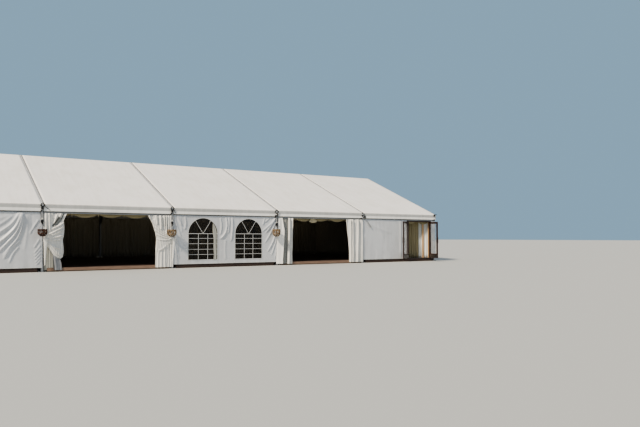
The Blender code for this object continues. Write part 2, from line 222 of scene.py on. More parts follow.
def timber(name, light, dark, roughness, along, board=None):
    """Sawn wood, stained or weathered: pale and dark grain runs along the length and stands in low ridges.

    along names the grain's axis. board gives the (length, width) of laid boards with dark joints between.
    """
    material, tree, shader = start_material(name, Coat_Weight=0.08, Coat_Roughness=0.4)
    place = add(tree, "ShaderNodeTexCoord").outputs["Object"]
    stretch = {"X": (0.6, 16.0, 16.0), "Z": (16.0, 16.0, 0.6)}[along]
    fibres = add(tree, "ShaderNodeMapping", {"Vector": place, "Scale": stretch}).outputs[0]
    pattern = {"Vector": fibres, "Scale": 5.0, "Detail": 7.0, "Roughness": 0.62}
    grain = add(tree, "ShaderNodeTexNoise", pattern).outputs["Fac"]
    colour = set_stops(add(tree, "ShaderNodeValToRGB", {"Fac": grain}), (0.32, dark), (0.66, light))
    height = grain
    if board:
        laid = add(tree, "ShaderNodeTexBrick", {
            "Vector": place, "Color1": linear("#FFFFFF"), "Color2": linear("#C4BCB8"),
            "Mortar": linear("#1A1512"), "Scale": 1.0, "Mortar Size": 0.003, "Brick Width": board[0],
            "Row Height": board[1]}, offset=0.37)
        colour = add(tree, "ShaderNodeMix", {0: 1.0, 6: colour, 7: laid.outputs["Color"]},
                     data_type="RGBA", blend_type="MULTIPLY").outputs[2]
        height = add(tree, "ShaderNodeMath", {0: laid.outputs["Fac"], 1: -3.0, 2: height},
                     operation="MULTIPLY_ADD").outputs[0]
    wear = {"Value": grain, 3: roughness + 0.1, 4: roughness - 0.1}
    dull = add(tree, "ShaderNodeMapRange", wear).outputs[0]
    bump = add(tree, "ShaderNodeBump", {"Height": height, "Strength": 0.4, "Distance": 0.0015}).outputs[0]
    join(tree, shader, Base_Color=colour, Roughness=dull, Normal=bump)
    return material


def woven_strap(name, light, dark):
    """Polyester webbing: matt, with ribs every 2 mm across it, drawn 6 mm apart so that they show."""
    material, tree, shader = start_material(name, Roughness=0.7, Sheen_Weight=0.3)
    place = add(tree, "ShaderNodeTexCoord").outputs["Object"]
    bands = {"Vector": place, "Scale": 52.0, "Distortion": 0.6}
    ribs = add(tree, "ShaderNodeTexWave", bands, bands_direction="Z").outputs["Fac"]
    tone = set_stops(add(tree, "ShaderNodeValToRGB", {"Fac": ribs}), (0.1, dark), (0.8, light))
    bump = add(tree, "ShaderNodeBump", {"Height": ribs, "Strength": 0.3, "Distance": 0.001}).outputs[0]
    join(tree, shader, Base_Color=tone, Normal=bump)
    return material


def peeled_willow(name, pale, middle, dark):
    """Buff willow rods, boiled and split: each rod turns from honey to dark bark brown along its length."""
    material, tree, shader = start_material(name, Roughness=0.6)
    place = add(tree, "ShaderNodeTexCoord").outputs["Object"]
    pattern = {"Vector": place, "Scale": 32.0, "Detail": 4.0, "Roughness": 0.7}
    bark = add(tree, "ShaderNodeTexNoise", pattern).outputs["Fac"]
    tone = add(tree, "ShaderNodeValToRGB", {"Fac": bark})
    turning = set_stops(tone, (0.30, dark), (0.52, middle), (0.74, pale))
    bump = add(tree, "ShaderNodeBump", {"Height": bark, "Strength": 0.5, "Distance": 0.0015}).outputs[0]
    join(tree, shader, Base_Color=turning, Normal=bump)
    return material


def soft_pvc(name, light, dark, roughness):
    """Extruded soft PVC: smooth and slightly yellowed, with a faint mottling of handling marks."""
    material, tree, shader = start_material(name, Roughness=roughness)
    place = add(tree, "ShaderNodeTexCoord").outputs["Object"]
    marks = add(tree, "ShaderNodeTexNoise", {"Vector": place, "Scale": 6.0, "Detail": 4.0}).outputs["Fac"]
    tone = set_stops(add(tree, "ShaderNodeValToRGB", {"Fac": marks}), (0.3, dark), (0.6, light))
    bump = add(tree, "ShaderNodeBump", {"Height": marks, "Strength": 0.1, "Distance": 0.001}).outputs[0]
    join(tree, shader, Base_Color=tone, Normal=bump)
    return material


roof_cloth = coated_cloth("roof_pvc_coated_polyester", "#EFECE6", "#E6E2DB", 0.46, 0.012, 2.2, seam_way=1)
# The walls' cloth is the roof's PVC painted greyer and bluer: painted shade and sky light on walls that stand
# nearly edge-on to the key.
wall_cloth = coated_cloth("wall_pvc_coated_polyester", "#CDD0D3", "#C2C4C6")
# The curtains' cloth is the same PVC painted a little greyer than the roof's: painted shade.
curtain_cloth = coated_cloth("curtain_pvc_coated_polyester", "#DCDBD6", "#CECDC7", 0.44, seam_every=1.25)
# The eave band's upper slope is a greyer copy of the PVC, painted shade, and its foot a whiter copy, painted
# light.
band_shade_cloth = coated_cloth("valance_pvc_painted_shade", "#CFCFCC", "#C3C3C0", 0.44)
band_foot_lit_cloth = coated_cloth("valance_foot_pvc_painted_light", "#EFEEEA", "#E4E3DF")
# A dark grey cloth that paints shade: the shadow gap under the eave band and the valleys of a curtain.
painted_shade_cloth = coated_cloth("grey_pvc_painted_shade", "#6A6A67", "#5B5B58", 0.5)
# The curtain PVC greyed as painted shade, for the window flap and the bay 4 backing.
flap_shade_cloth = coated_cloth("pvc_coated_polyester_painted_shade", "#AEAEA5", "#9D9D94", 0.46, seam_every=1.25)
# A whiter copy of the curtain PVC that paints sunlight on the ties and the bay 2 flap.
lit_tie_cloth = coated_cloth("curtain_pvc_painted_light", "#F0EFEA", "#E4E3DD", seam_every=1.25)
# The curtain PVC greyed as painted shade on the tail of a tied curtain.
tail_shade_cloth = coated_cloth("curtain_pvc_painted_shade", "#989A9D", "#898B8E", 0.46, seam_every=1.25)
bar_cloth = coated_cloth("white_pvc_glazing_strip", "#D2D4D4", "#C3C5C4", thread=0.008, seam_every=4.0)
# The swags, their ties and batten, and the door side drape are ivory satin painted olive-grey: painted shade,
# as they hang inside under the roof.
swag_shade_cloth = sewn_lining("ivory_satin_painted_shade", "#A99E7D", "#8C8262")
cream_cloth = sewn_lining("cream_polyester_satin", "#CDC4A8", "#B3A98C")
# Grey satin that paints shade on the bay 2 backing and in a curtain's hollow.
backing_shade_cloth = sewn_lining("grey_polyester_painted_shade", "#9C9D99", "#858682")
lining_cloth = sewn_lining("grey_polyester_satin", "#BDBBAE", "#A3A196")
drape_cloth = sewn_lining("pale_polyester_satin", "#E6E9E6", "#D2D7D5")
window_film = clear_sheet("clear_vinyl_film", ("#D6CCBC", "#E2D9CC"), 0.03, 1.25, 0.12, 2.0, 1.0)
door_glass = clear_sheet("toughened_float_glass", ("#E6ECEA", "#EEF2F0"), 0.0, 1.45, 0.0, 1.2, 0.3)
anodised = metal("anodised_extruded_aluminium", "#B4B5B6", "#8C8E90", 0.38, 1.0, (0.4, 14.0, 14.0))
black_steel = metal("black_painted_steel", "#17181A", "#0C0D0E", 0.5, 0.0, (6.0, 6.0, 6.0))
zinc_steel = metal("zinc_plated_steel", "#A9ABAC", "#6F7274", 0.34, 1.0, (8.0, 8.0, 8.0))
stained_timber = timber("dark_stained_hardwood", "#3A221A", "#1C0F0A", 0.42, "Z")
varnished_timber = timber("varnished_softwood", "#DEBD97", "#C4A077", 0.36, "Z")
# The floor boards are painted darker than bare boards to stand for the shade inside the tent: painted shade.
deck_boards = timber("floor_boards_painted_shade", "#5E4A40", "#3B2D27", 0.68, "X", board=(2.4, 0.145))
# Edge boards come in a dark copy, painted shade, and a pinkish lighter copy for the entrances, painted
# sunlight.
shaded_edge_boards = timber("edge_boards_painted_shade", "#4A3830", "#2A1F1A", 0.66, "X")
lit_edge_boards = timber("edge_boards_painted_light", "#97806F", "#6E5849", 0.7, "X")
pale_strap = woven_strap("grey_polyester_webbing", "#A7A9AA", "#808385")
# Black webbing: real for the strap tails, and painted shade where it stands as the dark gaps beside the pale
# straps.
black_webbing_and_shade = woven_strap("black_webbing_and_painted_shade", "#2E2F31", "#17181A")
dark_willow = peeled_willow("stained_willow_rods", "#8A4E28", "#33190B", "#140A05")
pale_willow = peeled_willow("buff_willow_rods", "#DCC6A0", "#7C664C", "#33281D")
white_welt = soft_pvc("white_pvc_welt", "#D9D6CF", "#B9B6AF", 0.4)
# The seam covers' grey is darkened past the real strip's to paint the shade in the track's channel.
seam_cover = soft_pvc("grey_pvc_seam_cover", "#8C8C8B", "#7E7E7D", 0.55)


# Ways of making pieces

def link(made):
    bpy.context.scene.collection.objects.link(made)
    return made


def shown(name, mesh, material, angle, body="marquee"):
    """Makes a mesh a piece that rides on a body, shaded smooth up to an angle, or flat where it is 0."""
    mesh.materials.append(material)
    if angle:
        mesh.shade_smooth()
        mesh.set_sharp_from_angle(angle=math.radians(angle))
    piece = link(bpy.data.objects.new(name, mesh))
    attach(piece, body)
    return piece


def finished(name, bm, material, angle=40, body="marquee"):
    """Makes a bmesh a shown piece in the object's own frame."""
    bmesh.ops.recalc_face_normals(bm, faces=bm.faces)
    mesh = bpy.data.meshes.new(name)
    bm.to_mesh(mesh)
    bm.free()
    return shown(name, mesh, material, angle, body)


def thicken(piece, gauge=cloth_gauge):
    """Gives a sheet its thickness, half on each side."""
    solid = piece.modifiers.new("gauge", "SOLIDIFY")
    solid.thickness = gauge
    solid.offset = 0.0
    return piece


def cloth_grid(bm, columns, rows, cut, place):
    """Adds a grid of cloth. cut is its flat width and height; place turns arrays of shares into X, Y, Z."""
    before = len(bm.verts)
    bmesh.ops.create_grid(bm, x_segments=columns, y_segments=rows, size=0.5)
    bm.verts.ensure_lookup_table()
    bm.verts.index_update()
    verts = bm.verts[before:]
    across = np.array([v.co.x for v in verts])
    upward = np.array([v.co.y for v in verts])
    across = (across - across.min()) / np.ptp(across)
    upward = (upward - upward.min()) / np.ptp(upward)
    shaped = np.stack(np.broadcast_arrays(*place(across, upward)), axis=1)
    for vert, point in zip(verts, shaped):
        vert.co = point
    cloth = bm.loops.layers.uv.get("cloth") or bm.loops.layers.uv.new("cloth")
    chosen = set(verts)
    for face in {f for v in verts for f in v.link_faces}:
        for loop in face.loops:
            if loop.vert in chosen:
                k = loop.vert.index - before
                loop[cloth].uv = (across[k] * cut[0], upward[k] * cut[1])


def cloth_piece(name, grid, cut, place, material, gauge=cloth_gauge, angle=40):
    """One sheet of cloth on a grid of (columns, rows)."""
    bm = bmesh.new()
    cloth_grid(bm, *grid, cut, place)
    return thicken(finished(name, bm, material, angle), gauge)


def run_profile(bm, outline, start, end, up=(0.0, 0.0, 1.0)):
    """Extrudes an outline, drawn right and up as seen looking from start to end, along that line."""
    start, end = Vector(start), Vector(end)
    along = (end - start).normalized()
    right = along.cross(Vector(up)).normalized()
    rise = right.cross(along)
    face = bm.faces.new([bm.verts.new(start + right * a + rise * b) for a, b in outline])
    grown = bmesh.ops.extrude_face_region(bm, geom=[face])["geom"]
    bmesh.ops.translate(bm, verts=[g for g in grown if isinstance(g, bmesh.types.BMVert)], vec=end - start)


def upright(bm, outline, x, y, low, high):
    run_profile(bm, outline, (x, y, low), (x, y, high), up=upward_y)


def level(bm, outline, left, right, y, z):
    run_profile(bm, outline, (left, y, z), (right, y, z))


def down_slope(bm, outline, x, side, drop, short=0.0):
    """Runs an outline from the ridge down one slope, drop below the sheets' top."""
    run_profile(bm, outline, (x, side * 0.004, roof_top(0) - drop),
                (x, side * (edge_out - short), edge_height - drop))


def bar_outline(width, height, ease=0.0):
    """A rectangle round the line, with its corners cut back by ease."""
    a, b = width / 2, height / 2
    if not ease:
        return [(-a, -b), (a, -b), (a, b), (-a, b)]
    c, d = a - ease, b - ease
    return [(-c, -b), (c, -b), (a, -d), (a, d), (c, b), (-c, b), (-a, d), (-a, -d)]


def round_outline(radius, sides=10):
    turn = [2 * math.pi * k / sides for k in range(sides)]
    return [(radius * math.cos(a), radius * math.sin(a)) for a in turn]


def rods(name, paths, radius, material, sides=2, closed=False, smooth_path=False):
    """Round rods along paths of points, as one curve made a mesh. smooth_path bends them between points."""
    data = bpy.data.curves.new(name, "CURVE")
    data.dimensions = "3D"
    data.bevel_depth = radius
    data.bevel_resolution = sides
    data.resolution_u = 3
    data.use_fill_caps = True
    for path in paths:
        spline = data.splines.new("NURBS" if smooth_path else "POLY")
        spline.points.add(len(path) - 1)
        for point, place in zip(spline.points, path):
            point.co = (*place, 1.0)
        spline.use_cyclic_u = closed
        if smooth_path:
            spline.order_u = 3
            spline.use_endpoint_u = not closed
    curve = link(bpy.data.objects.new(name + "_curve", data))
    bpy.context.view_layer.update()
    mesh = bpy.data.meshes.new_from_object(curve.evaluated_get(bpy.context.evaluated_depsgraph_get()))
    bpy.data.objects.remove(curve, do_unlink=True)
    bpy.data.curves.remove(data)
    mesh.name = name
    mesh.materials.clear()
    shown(name, mesh, material, 50)


def repaint(node, material):
    """Gives a CAD node its finish."""
    mesh_slots = frame["nodes"][node].material_slots
    for mesh_slot in mesh_slots:
        mesh_slot.material = material
    if not mesh_slots:
        frame["nodes"][node].data.materials.append(material)


# Folds in hanging cloth

def crease(x, z, start, end, height, width=0.04, bow=0.0, spread=1.6):
    """A fold along a bowed line from start to end, sharp at its start and softer further on."""
    (ax, az), (bx, bz) = start, end
    dx, dz = bx - ax, bz - az
    length = math.hypot(dx, dz)
    along = ((x - ax) * dx + (z - az) * dz) / length ** 2
    across = ((x - ax) * dz - (z - az) * dx) / length - bow * 4 * along * (1 - along)
    inside = np.clip(along, 0, 1)
    reach = width * (0.55 + (spread - 0.55) * inside)
    past = (along - inside) * length / (1.5 * width)
    ridge = 1 / (1 + (across / reach) ** 2) ** 2 - 0.35 / (1 + ((across - 2.1 * reach) / reach) ** 2) ** 2
    return height * ridge * np.exp(-past ** 2) * (1 - 0.55 * inside)


def eased(path):
    """Rounds the corners of a path by cutting them twice."""
    points = [np.array(p, float) for p in path]
    for _ in range(2 if len(points) > 2 else 0):
        cut = [points[0]]
        for a, b in zip(points, points[1:]):
            cut += [0.75 * a + 0.25 * b, 0.25 * a + 0.75 * b]
        points = [*cut, points[-1]]
    return points


def raised(x, z, path, height, width):
    """A fold whose crest follows a path and whose ends die away."""
    points = eased(path)
    near = np.full_like(x, np.inf)
    share = np.zeros_like(x)
    for k, (a, b) in enumerate(zip(points, points[1:])):
        run = b - a
        t = np.clip(((x - a[0]) * run[0] + (z - a[1]) * run[1]) / (run @ run), 0, 1)
        gap = np.hypot(x - a[0] - t * run[0], z - a[1] - t * run[1])
        closer = gap < near
        near = np.where(closer, gap, near)
        share = np.where(closer, (k + t) / (len(points) - 1), share)
    ends_fade = np.clip(share * 7, 0, 1) ** 0.7 * np.clip((1 - share) * 4, 0, 1) ** 0.8
    return height * ends_fade / (1 + (near / width) ** 2) ** 1.5


def loose_folds(seed, left, right, count, height):
    """Chosen at random for the sheets that the photograph doesn't show: folds fanning down from the track."""
    chance = random.Random(seed)
    folds = []
    for _ in range(count):
        x = chance.uniform(left + 0.1, right - 0.1)
        lean = chance.uniform(-0.5, 0.5)
        drop = chance.uniform(0.7, 1.7)
        folds.append(((x, wall_top), (x + lean, wall_top - drop), height * chance.uniform(0.4, 1.0),
                      chance.uniform(0.03, 0.07), chance.uniform(-0.05, 0.05)))
    return folds


def folded(x, z, folds, edges, foot_wave):
    """How far the cloth stands out of its plane, dying away at the top and at the fastened edges."""
    out = np.zeros_like(x)
    for fold in folds:
        out += crease(x, z, *fold) if len(fold) == 5 else raised(x, z, *fold)
    held = 1 - np.exp(-np.maximum(wall_top - z, 0) / 0.06)
    for edge in edges:
        held = held * (1 - np.exp(-(np.abs(x - edge) / 0.035) ** 2))
    ripple = foot_wave * np.sin(x * 9.7 + 0.6 * np.sin(x * 2.3)) * np.exp(-np.maximum(z - wall_foot, 0) / 0.5)
    return out * held + ripple * held


bay_5_folds = [
    (((-8.28, 2.22), (-8.34, 2.13), (-8.46, 1.91), (-8.60, 1.73), (-8.85, 1.54), (-9.30, 1.20)),
     0.055, 0.055),
    (((-8.22, 2.22), (-8.33, 1.87), (-8.44, 1.64), (-8.65, 1.39), (-8.90, 1.15), (-9.40, 0.80)),
     0.075, 0.050),
    (((-8.18, 2.22), (-8.25, 1.88), (-8.33, 1.62), (-8.47, 1.35), (-8.71, 1.08), (-9.00, 0.70)),
     0.065, 0.045),
    (((-8.16, 2.10), (-8.21, 1.70), (-8.28, 1.43), (-8.40, 1.17), (-8.62, 0.92), (-8.80, 0.60)),
     0.050, 0.040),
    (((-8.26, 1.20), (-8.47, 0.96), (-8.64, 0.79), (-8.80, 0.50)), 0.032, 0.032),
    (((-8.30, 0.95), (-8.50, 0.70), (-8.62, 0.35)), 0.025, 0.030),
    (((-8.06, 2.10), (-8.03, 1.70), (-8.06, 1.30), (-8.12, 0.80)), 0.016, 0.060),
    (((-7.66, 1.95), (-7.74, 1.80), (-7.84, 1.64), (-7.95, 1.40)), 0.026, 0.030),
    (((-7.90, 2.16), (-7.86, 1.80), (-7.88, 1.40)), -0.014, 0.050),
    (((-7.62, 1.22), (-7.69, 1.09), (-7.80, 0.90)), 0.024, 0.020),
    (((-7.58, 1.00), (-7.67, 0.86), (-7.79, 0.70)), 0.024, 0.018),
    (((-7.57, 0.86), (-7.66, 0.73), (-7.78, 0.58)), 0.022, 0.016),
    (((-7.57, 0.72), (-7.66, 0.60), (-7.77, 0.46)), 0.022, 0.016),
    (((-7.57, 0.58), (-7.65, 0.47), (-7.75, 0.35)), 0.020, 0.016),
    (((-7.57, 0.45), (-7.64, 0.36), (-7.73, 0.25)), 0.018, 0.015),
    (((-8.60, 2.10), (-9.20, 1.85), (-10.1, 1.60), (-11.2, 1.50)), 0.020, 0.080),
    (((-8.50, 2.10), (-8.90, 1.75), (-9.60, 1.40), (-10.6, 1.10)), 0.030, 0.060),
    (((-11.9, 2.20), (-11.6, 1.60), (-11.2, 0.90)), 0.040, 0.060),
    (((-12.1, 2.20), (-12.1, 1.40), (-11.9, 0.60)), 0.035, 0.060),
    (((-12.4, 1.60), (-12.0, 0.90), (-11.5, 0.30)), 0.030, 0.050),
    (((-9.60, 0.90), (-9.90, 0.55), (-10.4, 0.25)), 0.030, 0.060),
    (((-10.3, 2.20), (-10.6, 1.80), (-11.0, 1.10)), 0.025, 0.060),
]
bay_3_folds = [
    (((2.42, 2.22), (2.33, 2.12), (2.18, 1.93), (1.94, 1.73), (1.70, 1.55)), 0.034, 0.034),
    (((2.44, 2.20), (2.31, 2.05), (2.18, 1.86), (2.05, 1.70), (1.88, 1.48)), 0.036, 0.030),
    (((2.46, 2.10), (2.36, 1.90), (2.22, 1.62), (2.02, 1.30), (1.84, 1.02)), 0.030, 0.030),
    (((2.46, 1.80), (2.40, 1.55), (2.34, 1.25), (2.18, 0.94), (1.98, 0.62)), 0.038, 0.032),
    (((2.47, 1.50), (2.43, 1.10), (2.30, 0.80), (2.18, 0.45)), 0.028, 0.026),
    (((2.47, 1.10), (2.44, 0.70), (2.38, 0.30)), 0.022, 0.022),
    (((2.20, 2.20), (2.00, 2.05), (1.80, 1.90)), -0.014, 0.050),
    (((-0.10, 2.21), (-0.04, 1.88), (-0.09, 1.55), (-0.24, 1.32), (-0.38, 1.22)), 0.046, 0.030),
    (((0.06, 2.21), (0.05, 1.80), (0.00, 1.45)), 0.034, 0.030),
    (((0.20, 2.21), (0.22, 1.70), (0.15, 1.10)), 0.040, 0.032),
    (((-0.36, 2.15), (-0.30, 1.80), (-0.36, 1.40)), 0.030, 0.030),
    (((-1.98, 2.20), (-1.94, 1.90), (-1.99, 1.60)), 0.034, 0.034),
    (((-2.30, 2.21), (-2.26, 2.00), (-2.12, 1.80)), 0.034, 0.034),
    (((1.84, 2.21), (1.80, 2.05), (1.74, 1.85)), 0.026, 0.030),
    (((2.10, 2.21), (1.98, 2.08), (1.84, 1.98)), 0.030, 0.026),
    (((-0.10, 1.20), (-0.14, 0.80), (-0.10, 0.30)), 0.018, 0.050),
    (((-2.44, 2.19), (-2.36, 1.80), (-2.14, 1.30)), 0.028, 0.040),
    (((-2.46, 1.70), (-2.34, 1.20), (-2.12, 0.70)), 0.030, 0.035),
    (((-2.46, 1.20), (-2.38, 0.80), (-2.20, 0.40)), 0.026, 0.030),
    (((-2.20, 2.19), (-2.16, 1.80), (-2.10, 1.50)), 0.018, 0.040),
]
bay_1_folds = [
    (((7.56, 2.20), (8.20, 1.85), (9.40, 1.50)), 0.018, 0.080),
    (((7.56, 1.40), (8.10, 1.00), (8.90, 0.50)), 0.014, 0.070),
    (((8.40, 2.19), (8.60, 1.70), (8.90, 1.20)), 0.012, 0.080),
    (((10.02, 2.21), (10.03, 1.30), (10.02, 0.20)), 0.030, 0.055),
    (((10.28, 2.21), (10.28, 1.30), (10.28, 0.20)), 0.012, 0.040),
]


def wall_piece(name, node, left, right, folds, edges, step, side=-1, foot_wave=0.006, cut_windows=False):
    """A wall sheet hung from the track, with its folds and the cut-outs for its windows."""
    def place(across, upward):
        x = left + across * (right - left)
        z = wall_foot + upward * wall_height
        return x, side * (wall_plane + np.maximum(folded(x, z, folds, edges, foot_wave), -0.012)), z

    bm = bmesh.new()
    grid = max(4, round((right - left) / step)), round(wall_height / step)
    cloth_grid(bm, *grid, (right - left, wall_height), place)
    if cut_windows:
        for centre in window_centres.values():
            cut_arch(bm, centre)
        bmesh.ops.dissolve_degenerate(bm, dist=0.0005, edges=bm.edges)
    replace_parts(thicken(finished(name, bm, wall_cloth)), node)


def arch_points(centre, radius, sill):
    """A window's outline in X and Z, from its left side's foot over the head to its right side's foot."""
    turn = [math.pi * (1 - k / 40) for k in range(41)]
    head = [(centre + radius * math.cos(a), window_spring + radius * math.sin(a)) for a in turn]
    return [(centre - radius, sill), *head, (centre + radius, sill)]


def cut_arch(bm, centre):
    """Opens an arched hole in a grid: faces inside go, and the hole's edge is drawn onto the arch."""
    def depth(x, z):
        if z > window_spring:
            return window_radius - math.hypot(x - centre, z - window_spring)
        return min(window_radius - abs(x - centre), z - window_sill)

    gone = [f for f in bm.faces if depth(f.calc_center_median().x, f.calc_center_median().z) > 0]
    bmesh.ops.delete(bm, geom=gone, context="FACES")
    for vert in bm.verts:
        x, z = vert.co.x - centre, vert.co.z
        if not any(e.is_boundary for e in vert.link_edges) or abs(x) > window_radius + 0.06:
            continue
        if z > window_spring + 0.001:
            reach = math.hypot(x, z - window_spring)
            if reach < window_radius + 0.06:
                vert.co.x = centre + x * window_radius / reach
                vert.co.z = window_spring + (z - window_spring) * window_radius / reach
        elif abs(abs(x) - window_radius) < 0.05 and z > window_sill + 0.02:
            vert.co.x = centre + math.copysign(window_radius, x)
        elif abs(z - window_sill) < 0.05:
            vert.co.z = window_sill
            if abs(abs(x) - window_radius) < 0.03:
                vert.co.x = centre + math.copysign(window_radius, x)


# Roof

def roof_top(y):
    return edge_height + (edge_out - abs(y)) * roof_slope


def roof_piece(bay):
    """One bay's roof sheet, eave to eave over the ridge, slack by a finger's width between the purlins."""
    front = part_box(f"roof_sheet_front_{bay}")
    left, right = front[0].x, front[1].x
    bed, ridge_round, slack, purlin_at = 0.0035, 0.012, 0.016, 3.0
    length = 2 * edge_out / math.cos(math.atan(roof_slope))

    def place(across, upward):
        x = left + across * (right - left)
        y = (2 * upward - 1) * edge_out
        down = np.abs(y)
        between = np.where(down < purlin_at, down / purlin_at, np.clip((down - purlin_at) / purlin_at, 0, 1))
        held = 1 - np.abs(2 * across - 1) ** 4
        waves = 0.0012 * np.sin(x * 5.1 + y * 0.7) * np.sin(y * 2.9) + 0.001 * np.sin(x * 11 + 4 * np.sin(y))
        sag = (slack * held + waves * held) * np.sin(math.pi * between) ** 2
        rise = (edge_out - np.sqrt(y ** 2 + ridge_round ** 2)) * roof_slope
        return x, y, edge_height + rise - bed - sag

    piece = cloth_piece(f"roof_cloth_bay_{bay}", (56, 200), (right - left, length), place, roof_cloth)
    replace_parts(piece, f"roof_sheet_front_{bay}", f"roof_sheet_back_{bay}")


def roof_tracks():
    """On each inner frame a grey cover strip between two white welt beads, and a flat welt on its left; the
    strip's grey is darkened to paint the shade in the track's channel.
    """
    cover, welts = bmesh.new(), bmesh.new()
    beads = []
    cap = [(-0.020, -0.004), (0.020, -0.004), (0.020, 0.0), (0.010, 0.003), (-0.010, 0.003), (-0.020, 0.0)]
    cover_drop = 0.0055
    high, low = roof_top(0) - cover_drop + 0.002, edge_height - cover_drop + 0.002
    for x in inner_lines:
        for side in (-1, 1):
            down_slope(cover, cap, x, side, cover_drop)
            for hand in (-1, 1):
                bead = x + hand * (seam_width / 2 - 0.0065)
                beads.append([(bead, side * 0.004, high), (bead, side * (edge_out - 0.001), low)])
            down_slope(welts, bar_outline(0.017, 0.005, 0.001), x - 0.0295, side, 0.006)
    finished("roof_seam_covers", cover, seam_cover, 20)
    finished("roof_seam_welts", welts, roof_cloth, 0)
    rods("roof_welt_beads", beads, 0.0045, white_welt)


def gable_trim():
    """The bar that holds each end sheet's edge down along the outer rafters."""
    bm = bmesh.new()
    for end in (-1, 1):
        x = end * (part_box("roof_sheet_front_1")[1].x - 0.006)
        for side in (-1, 1):
            down_slope(bm, bar_outline(0.010, 0.022, 0.002), x, side, 0.010, 0.004)
    finished("gable_edge_bars", bm, white_welt, 0)


def valance_piece(side_name, side):
    """The eave band: a strip a bay, sloping in under the roof's edge to a sewn line, then flaring out."""
    line_shares, line_planes, line_heights = (0, 0.5, 1), (6.0993, 6.0712, 6.0850), (2.5085, 2.375, 2.255)
    band_ends = [c.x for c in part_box("valance_front")]
    band_drop = 0.257
    overlap = 0.012
    bm = bmesh.new()
    for bay, (left, right) in enumerate(bays):
        left = band_ends[0] + 0.001 if bay == 4 else left - overlap
        right = band_ends[1] - 0.001 if bay == 0 else right + overlap

        def place(across, upward):
            x = left + across * (right - left)
            down = 1 - upward
            y = np.interp(down, line_shares, line_planes)
            z = np.interp(down, line_shares, line_heights)
            loose = np.interp(down, line_shares, (0.0, 0.15, 1.0))
            sway = 0.0045 * np.sin(x * 3.1 + bay) * np.sin(x * 7.9 + 2.0 * bay) + 0.002 * (bay % 2)
            return x, side * (y + sway * loose), z + 0.003 * loose * np.sin(math.pi * across)

        cloth_grid(bm, 110, 12, (right - left, band_drop), place)
    piece = thicken(finished(f"eave_band_{side_name}", bm, band_shade_cloth, 8))
    # Faces above the sewn line take the greyer copy as painted shade, and those below take the whiter copy as
    # painted light.
    piece.data.materials.append(band_foot_lit_cloth)
    for face in piece.data.polygons:
        face.material_index = int(face.center.z < line_heights[1])
    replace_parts(piece, f"valance_{side_name}")
    hem, shade_strip = bmesh.new(), bmesh.new()
    for left, right in bays:
        level(hem, bar_outline(0.005, 0.014, 0.001), left + 0.06, right - 0.06, side * 6.0835, 2.266)
    # A dark grey strip behind the eave band's foot paints the shadow in the gap beneath it.
    level(shade_strip, bar_outline(0.003, 0.036), -12.5, 12.5, side * 6.0380, 2.2420)
    finished(f"eave_band_hem_{side_name}", hem, bar_cloth, 0)
    finished(f"painted_shadow_strip_{side_name}", shade_strip, painted_shade_cloth, 0)


# Curtains

def gathered(name, node, frame_line, inward, near, free, folds, cut, form=None, pleats=7, rolled=0.0,
             shaded_patches=()):
    """A curtain that hangs from the track: its front runs from the frame to its free edge and turns back.

    near and free are (height, reach) points of its two edges and folds are raised() crests, all from the
    frame's line. form adds the shape of a tied-back curtain to the front, and rolled is how far its free edge
    rolls back. shaded_patches lists (test of reach and height, cloth) where a darker cloth paints shade on
    it.
    """
    near_z, near_u = zip(*near)
    free_z, free_u = zip(*free)
    bend = curtain_bend
    middle = -half_span - 0.019 - bend
    behind = 0.9

    def place(across, upward):
        z = curtain_foot + upward * (curtain_head - curtain_foot)
        start = np.interp(z, near_z, near_u)
        straight = np.interp(z, free_z, free_u) - bend - start
        along = across * (straight * (1 + behind) + math.pi * bend)
        turn = np.clip((along - straight) / bend, 0, math.pi)
        past = np.maximum(along - straight - math.pi * bend, 0)
        u = start + np.minimum(along, straight) + bend * np.sin(turn) - past
        out = bend * np.cos(turn)
        front = np.clip(1 - turn / 0.9, 0, 1) * np.clip((u - start) / 0.02, 0, 1)
        relief = sum(raised(u, z, *fold) for fold in folds)
        roll = rolled * np.clip(1 - (start + straight - u) / 0.16, 0, 1) ** 1.5 * (1 + np.cos(turn)) / 2
        if form:
            relief = relief + form(u, z)
        small = 0.004 * np.sin(61 * u + 5 * np.sin(3 * z)) + 0.003 * np.sin(97 * u + 7 * z)
        out = out - roll + front * np.clip(relief + small * (0.4 + 0.6 * upward), -0.040 + roll, 0.082)
        phase = 2 * math.pi * pleats * 2 * across + 0.9 * np.sin(2.6 * upward)
        out = out + (turn > 1.5) * 0.012 * np.sin(phase) + np.sin(turn) * 0.008 * np.sin(2.1 * phase)
        return frame_line + inward * (u + 0.006 * np.sin(turn) * np.sin(9 * z)), middle - out, z

    piece = cloth_piece(name, (300, 132), cut, place, curtain_cloth, curtain_gauge, 75)
    middles = np.zeros(len(piece.data.polygons) * 3)
    piece.data.polygons.foreach_get("center", middles)
    u, z = (middles[0::3] - frame_line) * inward, middles[2::3]
    cloths = np.zeros(len(u), dtype=np.int32)
    for number, (test, cloth) in enumerate(shaded_patches, start=1):
        piece.data.materials.append(cloth)
        cloths[test(u, z)] = number
    piece.data.polygons.foreach_set("material_index", cloths)
    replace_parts(piece, node)


